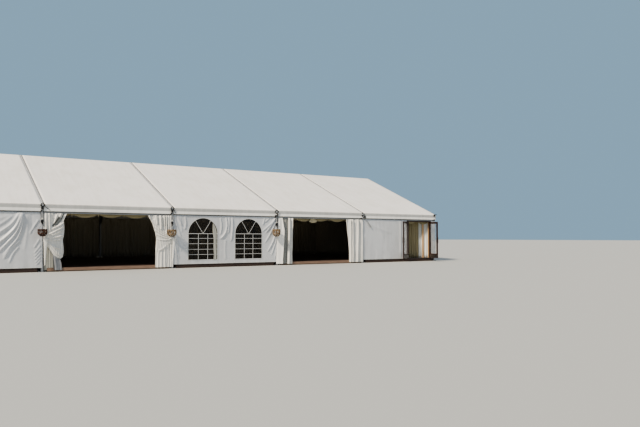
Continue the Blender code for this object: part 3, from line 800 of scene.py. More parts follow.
def tied_form(hem, tail, recess=0.045, lift=0.030, fall=0.0):
    """The blouse of a tied curtain hangs over a set-back lower part, down to its hem; a tail falls from it.

    fall makes the tail slope back towards the opening, so that it turns away from the light.
    """
    tail_z, tail_near, tail_far = zip(*tail)

    def form(u, z):
        below = 1 / (1 + np.exp((z - np.interp(u, *zip(*hem))) / 0.012))
        first, last = np.interp(z, tail_z, tail_near), np.interp(z, tail_z, tail_far)
        inside = 1 / (1 + np.exp((first - u) / 0.008)) / (1 + np.exp((u - last) / 0.008))
        slope = 1 - fall * np.clip((u - first) / (last - first), 0, 1)
        belly = 0.022 * np.exp(-((u - 0.5) / 0.22) ** 2 - ((z - 0.90) / 0.25) ** 2)
        return below * (lift * inside * slope - recess) + belly * (1 - below)

    return form


def pleat_row(starts, heights, widths, sway):
    """Upright pleats at the given (head, foot) reaches."""
    return [(((a, 2.40), (a + sway, 1.60), ((a + b) / 2, 1.00), (b, 0.50), (b, -0.30)), height, width)
            for (a, b), height, width in zip(starts, heights, widths)]


def tie_tail(name, x, top, foot, lean):
    """The loose end of a curtain's tie, a strip of the same cloth, painted whiter as painted light, that
    hangs from the knot at the leg.
    """
    def place(across, upward):
        down = 1 - upward
        width = 0.145 - 0.105 * down ** 0.8
        curve = 0.020 * np.sin(math.pi * across) * (0.4 + 0.6 * down) + 0.006 * np.sin(7 * math.pi * across)
        z = top - down * (top - foot)
        return (x + lean * down + (across - 0.5) * width, -6.118 - curve - 0.006 * np.sin(9 * down),
                z + 0.03 * (across - 0.5) * (down > 0.98))

    piece = cloth_piece(name, (24, 60), (0.14, top - foot), place, lit_tie_cloth,
                        tie_gauge, 70)


def tie_knot(name, x, z, inward):
    """The tie drawn round the gathered cloth at the leg: three turns side by side, pinched at the leg."""
    bm = bmesh.new()
    for turn in range(3):
        place = Matrix.Translation((x + inward * (0.045 + 0.05 * turn), -6.115, z + 0.006 * (turn % 2)))
        squeeze = Matrix.Diagonal((1.7, 1.1, 1.25 - 0.15 * turn, 1.0))
        bmesh.ops.create_uvsphere(bm, u_segments=18, v_segments=10, radius=0.020, matrix=place @ squeeze)
    # The knot takes the whiter copy of the curtain cloth: painted light.
    finished(name, bm, lit_tie_cloth, 80)


# Lining

def swags(place_name, left, right, count=5, drop=0.125):
    """A scalloped lining border, hung along the back of the eave rail from left to right."""
    step = (right - left) / count
    end_drop, plane, fullness = 0.085, -5.940, 1.12
    bm = bmesh.new()
    for k in range(count):
        start = left + k * step

        def place(across, upward):
            down = 1 - upward
            hang = np.sin(math.pi * across) ** 0.8
            z = swag_top - down * (end_drop + (drop + 0.012 * math.sin(k * 2.1)) * hang)
            ply = 0.014 * np.sin(2 * math.pi * (3.6 * down + 0.25 * hang)) * (0.35 + 0.65 * hang)
            belly = 0.035 * hang * np.sin(math.pi * np.clip(down, 0, 1)) ** 0.8
            pinch = 0.010 * np.cos(8 * math.pi * across) * (1 - hang) * down
            return start + across * step, plane + 0.05 - belly * 0.6 + ply + pinch, z

        cloth_grid(bm, 34, 18, (step * fullness, 0.28), place)
    # The swags' olive tone is ivory satin painted into shade.
    piece = finished(f"lining_swags_{place_name}", bm, swag_shade_cloth, 80)
    thicken(piece, lining_gauge)
    knots = bmesh.new()
    for k in range(count + 1):
        x = left + k * step
        for turn in range(3):
            ply = round_outline(0.016 - 0.003 * turn, 8)
            run_profile(knots, ply, (x + 0.012 * (turn - 1), plane + 0.015, 2.245),
                        (x + 0.016 * (turn - 1), plane + 0.03, 2.12 - 0.02 * turn), up=upward_y)
    finished(f"lining_ties_{place_name}", knots, swag_shade_cloth)
    batten = bmesh.new()
    level(batten, bar_outline(0.012, 0.03, 0.003), left, right, -5.986, swag_top)
    finished(f"lining_batten_{place_name}", batten, swag_shade_cloth, 0)


def lining_tail(x, width, foot):
    """A fan-pleated tail of the lining where two swags meet."""
    drop = tail_top - foot

    def place(across, upward):
        down = 1 - upward
        spread = width * (0.35 + 0.65 * down)
        wave = np.sin(2 * math.pi * 6 * across)
        return (x + (across - 0.5) * spread, -5.957 + 0.016 * wave * (0.5 + 0.5 * down),
                tail_top - down * drop * (1 - 0.25 * (2 * across - 1) ** 2))

    piece = cloth_piece("lining_tail", (96, 12), (width * 1.6, drop), place, cream_cloth,
                        lining_gauge, 80)


def hung_lining(name, start, end, head, cloth, pleats, depth=0.030):
    """A pleated lining curtain inside, hung in a straight line between two points of the floor plan."""
    start, end = Vector((*start, 0)), Vector((*end, 0))
    run = end - start
    inside = Vector((-run.y, run.x, 0)).normalized()
    drop = head - lining_foot

    def place(across, upward):
        phase = 2 * math.pi * pleats * across + 0.8 * np.sin(3 * upward + 5 * across)
        wave = depth * (0.75 + 0.25 * np.sin(23 * across)) * (np.sin(phase) + 0.2 * np.sin(2 * phase + 1))
        share = across + 0.25 / pleats * np.sin(2 * phase) / 4
        return (start.x + share * run.x + wave * inside.x, start.y + share * run.y + wave * inside.y,
                lining_foot + upward * drop)

    piece = cloth_piece(name, (pleats * 14, 10), (run.length * 1.3, drop), place, cloth,
                        curtain_gauge, 80)


def window_flap():
    """A pale grey flap welded beside the left window and drawn a little way across its film, cut to the arch;
    its grey is painted shade.
    """
    centre = window_centres["left"]
    radius = window_radius - 0.004
    foot, head = window_sill + 0.004, window_spring + radius * 0.66

    def place(across, upward):
        z = foot + upward * (head - foot)
        reach = np.sqrt(np.maximum(radius ** 2 - np.maximum(z - window_spring, 0) ** 2, 0))
        free = 0.455 + 0.03 * np.sin(2.2 * z) - 0.010 * np.sin(9 * z)
        x = centre + free + across * np.maximum(reach - 0.045 - free, 0.03)
        lift = 0.010 * (1 - across) * (0.6 + 0.4 * np.sin(6.0 * z)) + 0.004 * np.sin(9 * across + 3 * z)
        return x, -(wall_plane + 0.0105) - np.maximum(lift, 0), z

    piece = cloth_piece("window_flap", (16, 90), (0.15, head - foot), place, flap_shade_cloth,
                        lining_gauge, 70)


def build_lining():
    """Lining curtains round the hall, and a pale drape with two uprights slantwise behind the door."""
    for bay, (left, right) in enumerate(bays, start=1):
        hung_lining(f"back_lining_bay_{bay}", (right - 0.07, 5.90), (left + 0.07, 5.90), 2.38, lining_cloth,
                    24)
    hung_lining("gable_lining_left", (-12.40, 5.80), (-12.40, -5.80), 2.45, lining_cloth, 48)
    hung_lining("gable_lining_right", (12.38, -5.40), (12.38, 5.80), 2.45, lining_cloth, 46)
    hung_lining("door_drape", (11.70, -5.62), (12.33, -5.88), 2.30, drape_cloth, 6, 0.018)
    # The side drape takes the same ivory satin painted olive-grey as painted shade.
    hung_lining("door_side_drape", (10.75, -5.20), (11.68, -5.62), 2.30, swag_shade_cloth, 9,
                0.020)
    window_flap()
    bm = bmesh.new()
    for x, y in drape_uprights:
        upright(bm, bar_outline(0.125, 0.028, 0.004), x, y, 0.1505, 2.20)
    finished("door_drape_uprights", bm, varnished_timber, 0)


# Windows

def glazing(side, centre):
    """White strips welded on the film: an arched border, five cross bars, two uprights and a V on top."""
    face = wall_plane + 0.0045
    wide = window_radius - 0.01
    bm = bmesh.new()
    loops = []
    for radius, sill in ((window_radius - 0.012, window_sill + 0.010),
                         (window_radius + 0.022, window_sill - 0.022)):
        verts = [bm.verts.new((x, -face, z)) for x, z in arch_points(centre, radius, sill)]
        loops += [bm.edges.new((verts[k - 1], verts[k])) for k in range(len(verts))]
    bmesh.ops.bridge_loops(bm, edges=loops)
    bmesh.ops.solidify(bm, geom=bm.faces[:], thickness=0.004)

    def strip(start, end, width):
        run_profile(bm, bar_outline(width, 0.004, 0.0008), (start[0], -face - 0.0005, start[1]),
                    (end[0], -face - 0.0005, end[1]), up=(0.0, -1.0, 0.0))

    for z in (window_spring, 1.243, 1.017, 0.777, 0.555):
        strip((centre - wide, z), (centre + wide, z), 0.022 if z == window_spring else 0.016)
    for x in (-0.2145, 0.2145):
        strip((centre + x, window_sill + 0.01), (centre + x, window_spring), 0.019)
    for lean in (-1, 1):
        angle = math.radians(58)
        tip = (centre + lean * wide * math.cos(angle), window_spring + wide * math.sin(angle))
        strip((centre, window_spring), tip, 0.017)
    finished(f"glazing_strips_{side}", bm, bar_cloth, 30)
    repaint(f"window_{side}_bay_3", window_film)


# Doors

def door_dressing(name, side):
    """Glazing beads, a bar handle and a kicking plate on each face, placed for the door as it rests."""
    start = 0.003
    end = start + door_width / 2 - 0.010
    foot, head = 0.176, 2.124
    near, far, low, high = start + 0.085, end - 0.085, foot + 0.22, head - 0.085
    bead, plate = bar_outline(0.020, 0.010, 0.003), bar_outline(0.0015, 0.14, 0.0004)
    wood, steel = bmesh.new(), bmesh.new()
    for face, out in ((0.0095, -1), (0.0505, 1)):
        for a, b in (((near, low), (far, low)), ((near, high), (far, high)),
                     ((near, low), (near, high)), ((far, low), (far, high))):
            run_profile(wood, bead, (side * a[0], face, a[1]), (side * b[0], face, b[1]), up=upward_y)
        grip = side * (end - 0.042)
        at = face + out * 0.038
        upright(steel, round_outline(0.010, 14), grip, at, 0.98, 1.30)
        for z in (1.02, 1.26):
            run_profile(steel, round_outline(0.007, 12), (grip, face, z), (grip, at, z))
            run_profile(steel, round_outline(0.017, 16), (grip, face, z), (grip, face + out * 0.004, z))
        level(steel, plate, side * (start + 0.03), side * (end - 0.03), face, foot + 0.10)
    for part, label, material, slot in ((wood, "beads", stained_timber, "door_timber"),
                                        (steel, "furniture", zinc_steel, "aluminium")):
        bmesh.ops.transform(part, matrix=door_matrix(name), verts=part.verts)
        finished(f"door_{name}_{label}", part, material, 35, f"{name}_door")
    repaint(f"door_{name}", stained_timber)
    repaint(f"door_{name}_glass", door_glass)


def door_matrix(name):
    """Where a door drawn shut with its hinge on the Z axis stands at rest."""
    joint = next(j for j in frame["joints"] if j["name"] == f"{name}_door_hinge")
    x, y, _ = joint["pos_m"]
    angle = {"left": -152, "right": 78}[name]
    return Matrix.Translation((x, y, 0)) @ Matrix.Rotation(math.radians(angle), 4, "Z")


def door_surround():
    """The door unit's architrave and its threshold strip."""
    low, high = door_low, door_high
    face = -6.0412 - 0.0045
    casing = bar_outline(0.044, 0.010, 0.003)
    bm, sill = bmesh.new(), bmesh.new()
    for x in (low.x + 0.022, high.x - 0.022):
        upright(bm, casing, x, face, 0.17, high.z - 0.01)
    run_profile(bm, casing, (low.x, face, high.z - 0.024), (high.x, face, high.z - 0.024), up=upward_y)
    finished("door_architrave", bm, stained_timber, 0)
    level(sill, bar_outline(0.075, 0.004, 0.001), low.x + 0.07, high.x - 0.07, -6.0, 0.1725)
    finished("door_sill_strip", sill, anodised, 0)
    repaint("door_frame", stained_timber)


# Eave fittings

# How far each frame's strap hangs from the frame's own line, and what hangs there
fitting_shift = {2: 0.0, 3: -0.07, 4: -0.065, 5: -0.045}
fitting_kinds = {2: "hook", 3: "ring", 4: "strap", 5: "strap"}
# Clamps and brackets: shift, height of the middle, width, height and, if not 0.030, depth
fitting_lumps = {
    "ring": ((-0.050, 2.275, 0.090, 0.085), (0.055, 2.285, 0.050, 0.050)),
    "strap": ((0.0, 2.385, 0.088, 0.130, 0.036), (-0.050, 2.475, 0.050, 0.040), (0.070, 2.470, 0.046, 0.036),
              (-0.030, 2.275, 0.040, 0.050)),
    "hook": ((-0.075, 2.530, 0.070, 0.060), (0.045, 2.475, 0.050, 0.040), (-0.075, 2.375, 0.090, 0.090),
             (-0.130, 2.240, 0.080, 0.070), (0.060, 2.350, 0.060, 0.130), (0.010, 2.300, 0.050, 0.050)),
}
# Rings: name, shift, plane, height, radius, the rod's radius
fitting_rings = {
    "ring": (("ring", 0.0, ring_plane, 2.468, 0.080, 0.017),
             ("small_ring", 0.060, 6.108, 2.335, 0.030, 0.010)),
    "strap": (("ring", 0.01, ring_plane, 2.490, 0.066, 0.015),),
    "hook": (),
}


def eave_fitting(number, frame_x, side_name, side):
    """What hangs at a frame's eave: a ring or brackets at the roof's edge, a strap and often a ratchet."""
    kind = fitting_kinds[number]
    label = f"{number}_{side_name}"
    x = frame_x + fitting_shift[number]
    steel, web, dark = bmesh.new(), bmesh.new(), bmesh.new()

    def lump(shift, z, width, height, depth=0.030):
        """A clamp or bracket."""
        upright(steel, bar_outline(width, depth, 0.3 * min(width, depth)), x + shift, side * clamp_plane,
                z - height / 2, z + height / 2)

    def tape(bm, outline, *places):
        """Flat webbing between two places of (shift, plane, height)."""
        start, end = [(x + shift, side * plane, z) for shift, plane, z in places]
        run_profile(bm, outline, start, end, up=upward_y)

    for ring_name, shift, plane, z, radius, rod in fitting_rings[kind]:
        turn = round_outline(radius, 20)
        ring = [(x + shift + a, side * plane, z + b) for a, b in turn]
        rods(f"eave_{ring_name}_{label}", [ring], rod, black_steel, closed=True)
    for row in fitting_lumps[kind]:
        lump(*row)
    if kind == "strap":
        tail = 0.28 if number == 5 else 0.16
        tape(dark, bar_outline(0.016, 0.003), (0.05, ring_plane, 2.465), (tail, 6.094, 2.29))
    if kind == "hook":
        hook = ((0.02, 6.108, 2.30), (0.05, 6.112, 2.38), (0.12, 6.112, 2.36), (0.14, 6.110, 2.25))
        bent = [(x + shift, side * plane, z) for shift, plane, z in hook]
        rods(f"eave_hook_{label}", [bent], 0.014, black_steel, smooth_path=True)
        tape(web, bar_outline(0.036, 0.003), (0.09, 6.110, 2.34), (0.27, 6.098, 2.05))
        tape(web, bar_outline(0.070, 0.004), (0.27, 6.098, 2.05), (0.50, 6.094, 1.80))
    else:
        # The two black strips beside the pale strap paint the shade gaps at its sides.
        for hand in (-1, 1):
            tape(dark, bar_outline(0.014, 0.003), (hand * 0.052, strap_plane, 2.315),
                 (hand * 0.036, strap_plane + 0.008, 1.955))
        tape(web, bar_outline(0.066, 0.003), (0.0, strap_plane + 0.002, 2.315),
             (0.0, strap_plane + 0.009, 1.93))
        lump(0.0, 1.875, 0.080, 0.110, 0.040)
        level(steel, round_outline(0.015, 12), x - 0.058, x + 0.058, side * 6.116, 1.89)
        lump(0.0, 1.795, 0.034, 0.060)
        buckle = bmesh.new()
        tape(buckle, bar_outline(0.060, 0.014, 0.003), (0.0, 6.108, 1.955), (0.0, 6.106, 2.010))
        finished(f"eave_buckle_{label}", buckle, white_welt, 0)
        finished(f"eave_strap_edges_{label}", dark, black_webbing_and_shade, 0)
    finished(f"eave_clamp_{label}", steel, black_steel, 30)
    finished(f"eave_strap_{label}", web, pale_strap, 0)


def hanging_basket(number, x, radius, rim, depth, rods_finish):
    """An empty openwork bowl of willow loops and bands, hung by three wires from the ratchet's hook."""
    y = -6.295
    strap_x = {3: 2.5, 4: -2.5, 5: -7.5}[number] + fitting_shift[number]
    chance = random.Random(number)
    hook = [(strap_x, -6.126, 1.80), (strap_x, -6.15, 1.77), (x, y + 0.02, 1.775), (x, y + 0.02, 1.79),
            (x, y, hook_height)]
    rods(f"basket_hook_{number}", [hook], 0.004, black_steel, smooth_path=True)
    wires = []
    for k in range(3):
        a = 2 * math.pi * (k / 3 + 0.09)
        wires.append([(x, y, hook_height), (x + radius * math.cos(a), y + radius * math.sin(a), rim + 0.004)])
    rods(f"basket_wires_{number}", wires, 0.0022, black_steel, sides=1)

    def shell(a, t, share=1.0):
        """A point on the bowl at an angle, t from the rim to the bottom."""
        fall = t * math.pi / 2
        r = share * radius * (math.cos(fall) + 0.16 * math.sin(2 * fall))
        return x + r * math.cos(a), y + r * math.sin(a), rim - depth * share * math.sin(fall)

    arches, bands, loops = [], [], []
    for k in range(9):
        a = math.pi * k / 9
        arches.append([shell(a + 0.08 * math.sin(i + k) if i >= 0 else a + math.pi, abs(i) / 10)
                       for i in range(-9, 10)])
    for level_share, count, wobble in ((0.0, 6, 0.012), (0.40, 3, 0.008), (0.78, 3, 0.006)):
        for k in range(count):
            phase = chance.uniform(0, 6.28)
            loop = []
            for i in range(40):
                a = 2 * math.pi * i / 40
                px, py, pz = shell(a, level_share)
                swing = wobble * math.sin(a * 9 + phase)
                loop.append((px + swing * math.cos(a), py + swing * math.sin(a),
                             pz + wobble * math.cos(a * 9 + phase) + 0.007 * (k - 2)))
            bands.append(loop)
    for level_share, few in ((0.20, 10), (0.58, 8)):
        count = few + 4 * (number == 3)
        for k in range(count):
            middle = 2 * math.pi * k / count + chance.uniform(-0.12, 0.12)
            wide = 1.05 * math.pi / count
            loop = []
            for i in range(16):
                turn = 2 * math.pi * i / 16
                low_share = min(0.97, max(0.0, level_share + 0.19 * math.sin(turn)))
                loop.append(shell(middle + wide * math.cos(turn), low_share, 1.03))
            loops.append(loop)
    for paths, label, closed in ((arches, "rods", False), (loops, "loops", True), (bands, "bands", True)):
        rods(f"basket_{label}_{number}", paths, 0.0072, rods_finish, sides=1, closed=closed,
             smooth_path=not closed)


def corner_arm(end_name, end, side_name, side):
    """A bracket at the foot of an outer rafter: a corner plate, an arm for the stay and a lashing below."""
    x = end * 12.425
    y = side * ring_plane
    bm = bmesh.new()
    upright(bm, bar_outline(0.095, 0.030, 0.006), x, y, 2.435, 2.555)
    level(bm, bar_outline(0.045, 0.030, 0.006), x, x + end * 0.165, y, 2.545)
    run_profile(bm, bar_outline(0.080, 0.024, 0.006), (x, side * 6.096, 2.185),
                (x + end * 0.02, side * 6.096, 2.285), up=upward_y)
    finished(f"corner_arm_{end_name}_{side_name}", bm, black_steel, 30)


# Frame and floor dressing

def frame_dressing():
    """Bolts at each knee, stakes through the base plates and edge boards round the floor."""
    steel, boards, lit_boards = bmesh.new(), bmesh.new(), bmesh.new()
    for x in frame_lines:
        for side in (-1, 1):
            for dx, dy in ((-0.11, -0.11), (0.11, -0.11), (-0.11, 0.11), (0.11, 0.11)):
                upright(steel, round_outline(0.013, 10), x + dx, side * 5.915 + dy, 0.0121, 0.034)
                upright(steel, round_outline(0.021, 6), x + dx, side * 5.915 + dy, 0.034, 0.044)
            for hand in (-1, 1):
                face = x + hand * 0.0455
                for y, z in ((5.93, 2.05), (5.93, 1.90), (5.70, 2.42), (5.45, 2.56), (5.20, 2.66)):
                    level(steel, round_outline(0.012, 6), face, face + hand * 0.010, side * y, z)
    finished("frame_bolts_and_stakes", steel, zinc_steel, 30)
    # Entrance edge boards take the lighter copy as painted light, and all others the dark copy as painted
    # shade.
    board = bar_outline(0.016, 0.118, 0.003)
    for side in (-1, 1):
        for bay, (left, right) in enumerate(bays, start=1):
            edge = lit_boards if side < 0 and bay in (2, 4) else boards
            level(edge, board, left + 0.175, right - 0.175, side * 6.0085, edge_board_middle)
    for x in (-12.5535, 12.5535):
        run_profile(boards, board, (x, -5.72, edge_board_middle), (x, 5.72, edge_board_middle))
    finished("floor_edge_boards", boards, shaded_edge_boards, 0)
    finished("entrance_edge_boards", lit_boards, lit_edge_boards, 0)
    repaint("floor_deck", deck_boards)
    for node in frame["nodes"]:
        if node.startswith(("portal_frame", "ridge_purlin", "purlin_", "eave_rail", "gable_post")):
            repaint(node, anodised)


# Gables and back

def gable_piece(label, end):
    """A gable sheet up to the rafters, with folds hanging from the slopes, two joints and an eave strip."""
    chance = random.Random(7 if end > 0 else 11)
    folds = []
    for _ in range(16):
        y = chance.uniform(-5.6, 5.6)
        folds.append((y, chance.uniform(-0.45, 0.45), chance.uniform(1.0, 2.6), chance.uniform(0.012, 0.040),
                      chance.uniform(0.04, 0.09)))

    def place(across, upward):
        y = (2 * across - 1) * gable_reach
        top = roof_top(y) - 0.0100
        z = wall_foot + upward * (top - wall_foot)
        out = np.zeros_like(y)
        for start, lean, drop, height, width in folds:
            peak = roof_top(start) - 0.02
            out += crease(y, z, (start, peak), (start + lean, peak - drop), height, width)
        out += 0.006 * np.sin(y * 6.1) * np.exp(-(z - wall_foot) / 0.6)
        held = 1 - np.exp(-np.maximum(top - z, 0) / 0.08)
        held = held * (1 - np.exp(-((gable_reach - np.abs(y)) / 0.05) ** 2))
        return end * (gable_plane + np.maximum(out * held, -0.0005)), y, z

    width = 2 * gable_reach
    piece = cloth_piece(f"gable_cloth_{label}", (200, 76), (width, 4.3), place, wall_cloth)
    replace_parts(piece, f"gable_wall_{label}")
    flaps = bmesh.new()
    for y in (-2.0, 2.0):
        run_profile(flaps, bar_outline(0.075, 0.003), (end * 12.5525, y, wall_foot + 0.01),
                    (end * 12.5525, y, roof_top(y) - 0.05), up=(end, 0, 0))
    run_profile(flaps, bar_outline(0.003, 0.075), (end * 12.5535, -5.86, 2.42), (end * 12.5535, 5.86, 2.42))
    finished(f"gable_joint_flaps_{label}", flaps, bar_cloth, 0)


def back_fastenings():
    """Overlap strips with buckled straps where the back's wall sheets meet at the legs."""
    strips, buckles = bmesh.new(), bmesh.new()
    y = wall_plane + 0.0035
    for x in inner_lines:
        upright(strips, bar_outline(0.060, 0.0025), x, y, wall_foot + 0.01, 2.13)
        for k in range(5):
            level(buckles, bar_outline(0.022, 0.008, 0.002), x - 0.016, x + 0.016, y + 0.004, 0.35 + 0.40 * k)
    finished("back_wall_strips", strips, bar_cloth, 0)
    finished("back_wall_buckles", buckles, black_steel, 0)


def hem_tubes():
    """The weighted hem along the foot of the wall sheets."""
    z = wall_foot + 0.009
    paths = []
    for left, right, side in ((-12.54, -7.52, -1), (-2.49, 2.49, -1), (7.52, 10.46, -1), (-12.54, 12.54, 1)):
        y = side * (wall_plane + 0.001)
        paths.append([(left, y, z), (right, y, z)])
    rods("wall_hem_tubes", paths, 0.008, bar_cloth)


def build_roof_and_walls():
    for bay in range(1, 6):
        roof_piece(bay)
    roof_tracks()
    gable_trim()
    for name, side in sides.items():
        valance_piece(name, side)
    corner, leg, jamb = gable_plane, 7.502, 2.498
    wall_piece("wall_cloth_bay_5", "wall_bay_5", -corner, -leg, bay_5_folds, (-corner, -leg), 0.026)
    wall_piece("wall_cloth_bay_3", "window_wall_bay_3", -jamb, jamb, bay_3_folds, (-jamb, jamb), 0.022,
               foot_wave=0.0, cut_windows=True)
    wall_piece("wall_cloth_bay_1", "wall_left_bay_1", leg, door_low.x - 0.001, bay_1_folds, (leg,), 0.04)
    wall_piece("wall_cloth_corner", "wall_right_bay_1", door_high.x + 0.001, corner, [], (), 0.04)
    back_folds = []
    for k, (left, right) in enumerate(bays):
        back_folds += loose_folds(20 + k, left, right, 7, 0.034)
    wall_piece("wall_cloth_back", "back_wall", -corner, corner, back_folds, frame_lines, 0.05, side=1)
    back_fastenings()
    hem_tubes()
    for label, end in ends.items():
        gable_piece(label, end)


# Crests of the curtains' folds, from the frame's line inwards
left_4_folds = [
    (((0.085, 2.45), (0.088, 1.95), (0.095, 1.40)), 0.050, 0.024),
    (((0.195, 2.45), (0.202, 1.95), (0.225, 1.50)), 0.056, 0.026),
    (((0.40, 2.35), (0.40, 2.05), (0.34, 1.72)), -0.030, 0.100),
    (((0.47, 2.14), (0.42, 1.98), (0.35, 1.78)), 0.075, 0.020),
    (((0.82, 2.34), (0.66, 2.08), (0.41, 1.72)), -0.070, 0.034),
    (((0.66, 2.30), (0.60, 2.14), (0.56, 2.05)), 0.040, 0.020),
    (((0.87, 2.34), (0.78, 2.08), (0.70, 1.88)), 0.065, 0.024),
    (((0.76, 1.88), (0.60, 1.76), (0.44, 1.67), (0.22, 1.57)), 0.060, 0.026),
    (((0.77, 1.76), (0.62, 1.63), (0.46, 1.55), (0.20, 1.39)), 0.062, 0.026),
    (((0.74, 1.60), (0.58, 1.49), (0.40, 1.42), (0.18, 1.28)), 0.046, 0.026),
    (((0.75, 1.38), (0.60, 1.33), (0.40, 1.28), (0.16, 1.24)), 0.042, 0.028),
    (((0.72, 1.27), (0.56, 1.19), (0.30, 1.185), (0.06, 1.22)), 0.034, 0.018),
    (((0.10, 1.12), (0.28, 1.00), (0.44, 0.90), (0.62, 0.86)), 0.026, 0.040),
    (((0.74, 1.15), (0.66, 0.95), (0.70, 0.70)), 0.028, 0.045),
    (((0.30, 0.98), (0.42, 0.80), (0.58, 0.66), (0.70, 0.62)), 0.024, 0.028),
    (((0.53, 0.55), (0.55, 0.35), (0.575, -0.1)), 0.012, 0.016),
    (((0.18, 1.00), (0.30, 0.86), (0.42, 0.70), (0.56, 0.60)), 0.030, 0.024),
]
left_4_hem = ((0.0, 1.10), (0.12, 1.00), (0.20, 0.88), (0.27, 0.78), (0.37, 0.64), (0.51, 0.54), (0.66, 0.49),
              (0.73, 0.56))
left_4_tail = ((0.04, 0.44, 0.70), (0.29, 0.41, 0.68), (0.66, 0.36, 0.66), (1.0, 0.3, 0.6))
right_4_folds = [
    (((0.93, 2.35), (0.90, 2.20), (0.84, 2.00)), -0.050, 0.060),
    (((1.06, 2.36), (0.95, 1.98), (0.80, 1.54), (0.75, 1.10)), 0.055, 0.022),
    (((0.75, 2.45), (0.73, 2.05), (0.69, 1.80)), 0.045, 0.030),
    (((0.635, 2.40), (0.632, 2.05), (0.62, 1.78)), -0.060, 0.026),
    (((0.555, 2.45), (0.550, 2.00), (0.53, 1.60)), 0.065, 0.022),
    (((0.49, 2.30), (0.46, 1.95), (0.40, 1.68)), -0.060, 0.032),
    (((0.40, 2.45), (0.39, 2.00), (0.36, 1.60)), 0.045, 0.020),
    (((0.349, 2.40), (0.345, 2.00), (0.34, 1.60)), -0.034, 0.014),
    (((0.308, 2.40), (0.306, 1.90), (0.300, 1.40)), 0.044, 0.018),
    (((0.245, 2.40), (0.243, 2.00), (0.240, 1.60)), -0.024, 0.018),
    (((0.195, 2.40), (0.195, 1.90), (0.190, 1.50)), 0.034, 0.022),
    (((0.110, 2.40), (0.112, 1.90), (0.110, 1.45)), 0.034, 0.022),
    (((0.96, 1.98), (0.70, 1.75), (0.45, 1.55), (0.10, 1.36)), 0.030, 0.022),
    (((0.90, 1.80), (0.62, 1.58), (0.38, 1.42), (0.08, 1.30)), 0.034, 0.024),
    (((0.82, 1.62), (0.56, 1.44), (0.30, 1.33), (0.06, 1.27)), 0.034, 0.024),
    (((0.78, 1.44), (0.50, 1.31), (0.25, 1.26), (0.05, 1.24)), 0.032, 0.022),
    (((0.74, 1.22), (0.50, 1.17), (0.25, 1.18), (0.05, 1.21)), 0.030, 0.020),
    (((0.30, 0.95), (0.45, 0.82), (0.68, 0.72)), 0.022, 0.035),
    (((0.70, 1.15), (0.66, 0.90), (0.70, 0.70)), 0.028, 0.040),
    (((0.62, 0.70), (0.63, 0.40), (0.64, -0.1)), 0.030, 0.024),
    (((0.50, 0.72), (0.50, 0.40), (0.49, -0.1)), 0.030, 0.026),
    (((0.36, 0.85), (0.35, 0.40), (0.34, -0.1)), 0.026, 0.028),
    (((0.20, 1.00), (0.19, 0.50), (0.18, -0.1)), 0.024, 0.032),
    (((0.08, 1.10), (0.075, 0.60), (0.07, -0.1)), 0.022, 0.028),
]
right_4_hem = ((0.0, 1.12), (0.20, 0.98), (0.40, 0.80), (0.60, 0.66), (0.78, 0.64))
left_2_folds = [
    *pleat_row(((0.610, 0.590), (0.720, 0.700)), (0.080, -0.040), (0.026, 0.044), 0.0),
    (((0.815, 2.45), (0.80, 2.10), (0.790, 1.60)), 0.050, 0.020),
    (((0.70, 2.45), (0.69, 2.05), (0.68, 1.80)), 0.016, 0.016),
]
right_2_folds = pleat_row(
    ((1.045, 0.900), (0.955, 0.860), (0.830, 0.800), (0.765, 0.740), (0.700, 0.680), (0.560, 0.560),
     (0.365, 0.400), (0.220, 0.230), (0.080, 0.080)),
    (0.050, -0.030, 0.078, -0.015, 0.070, -0.045, 0.080, -0.035, 0.030),
    (0.030, 0.030, 0.024, 0.016, 0.022, 0.060, 0.040, 0.045, 0.025), -0.01)


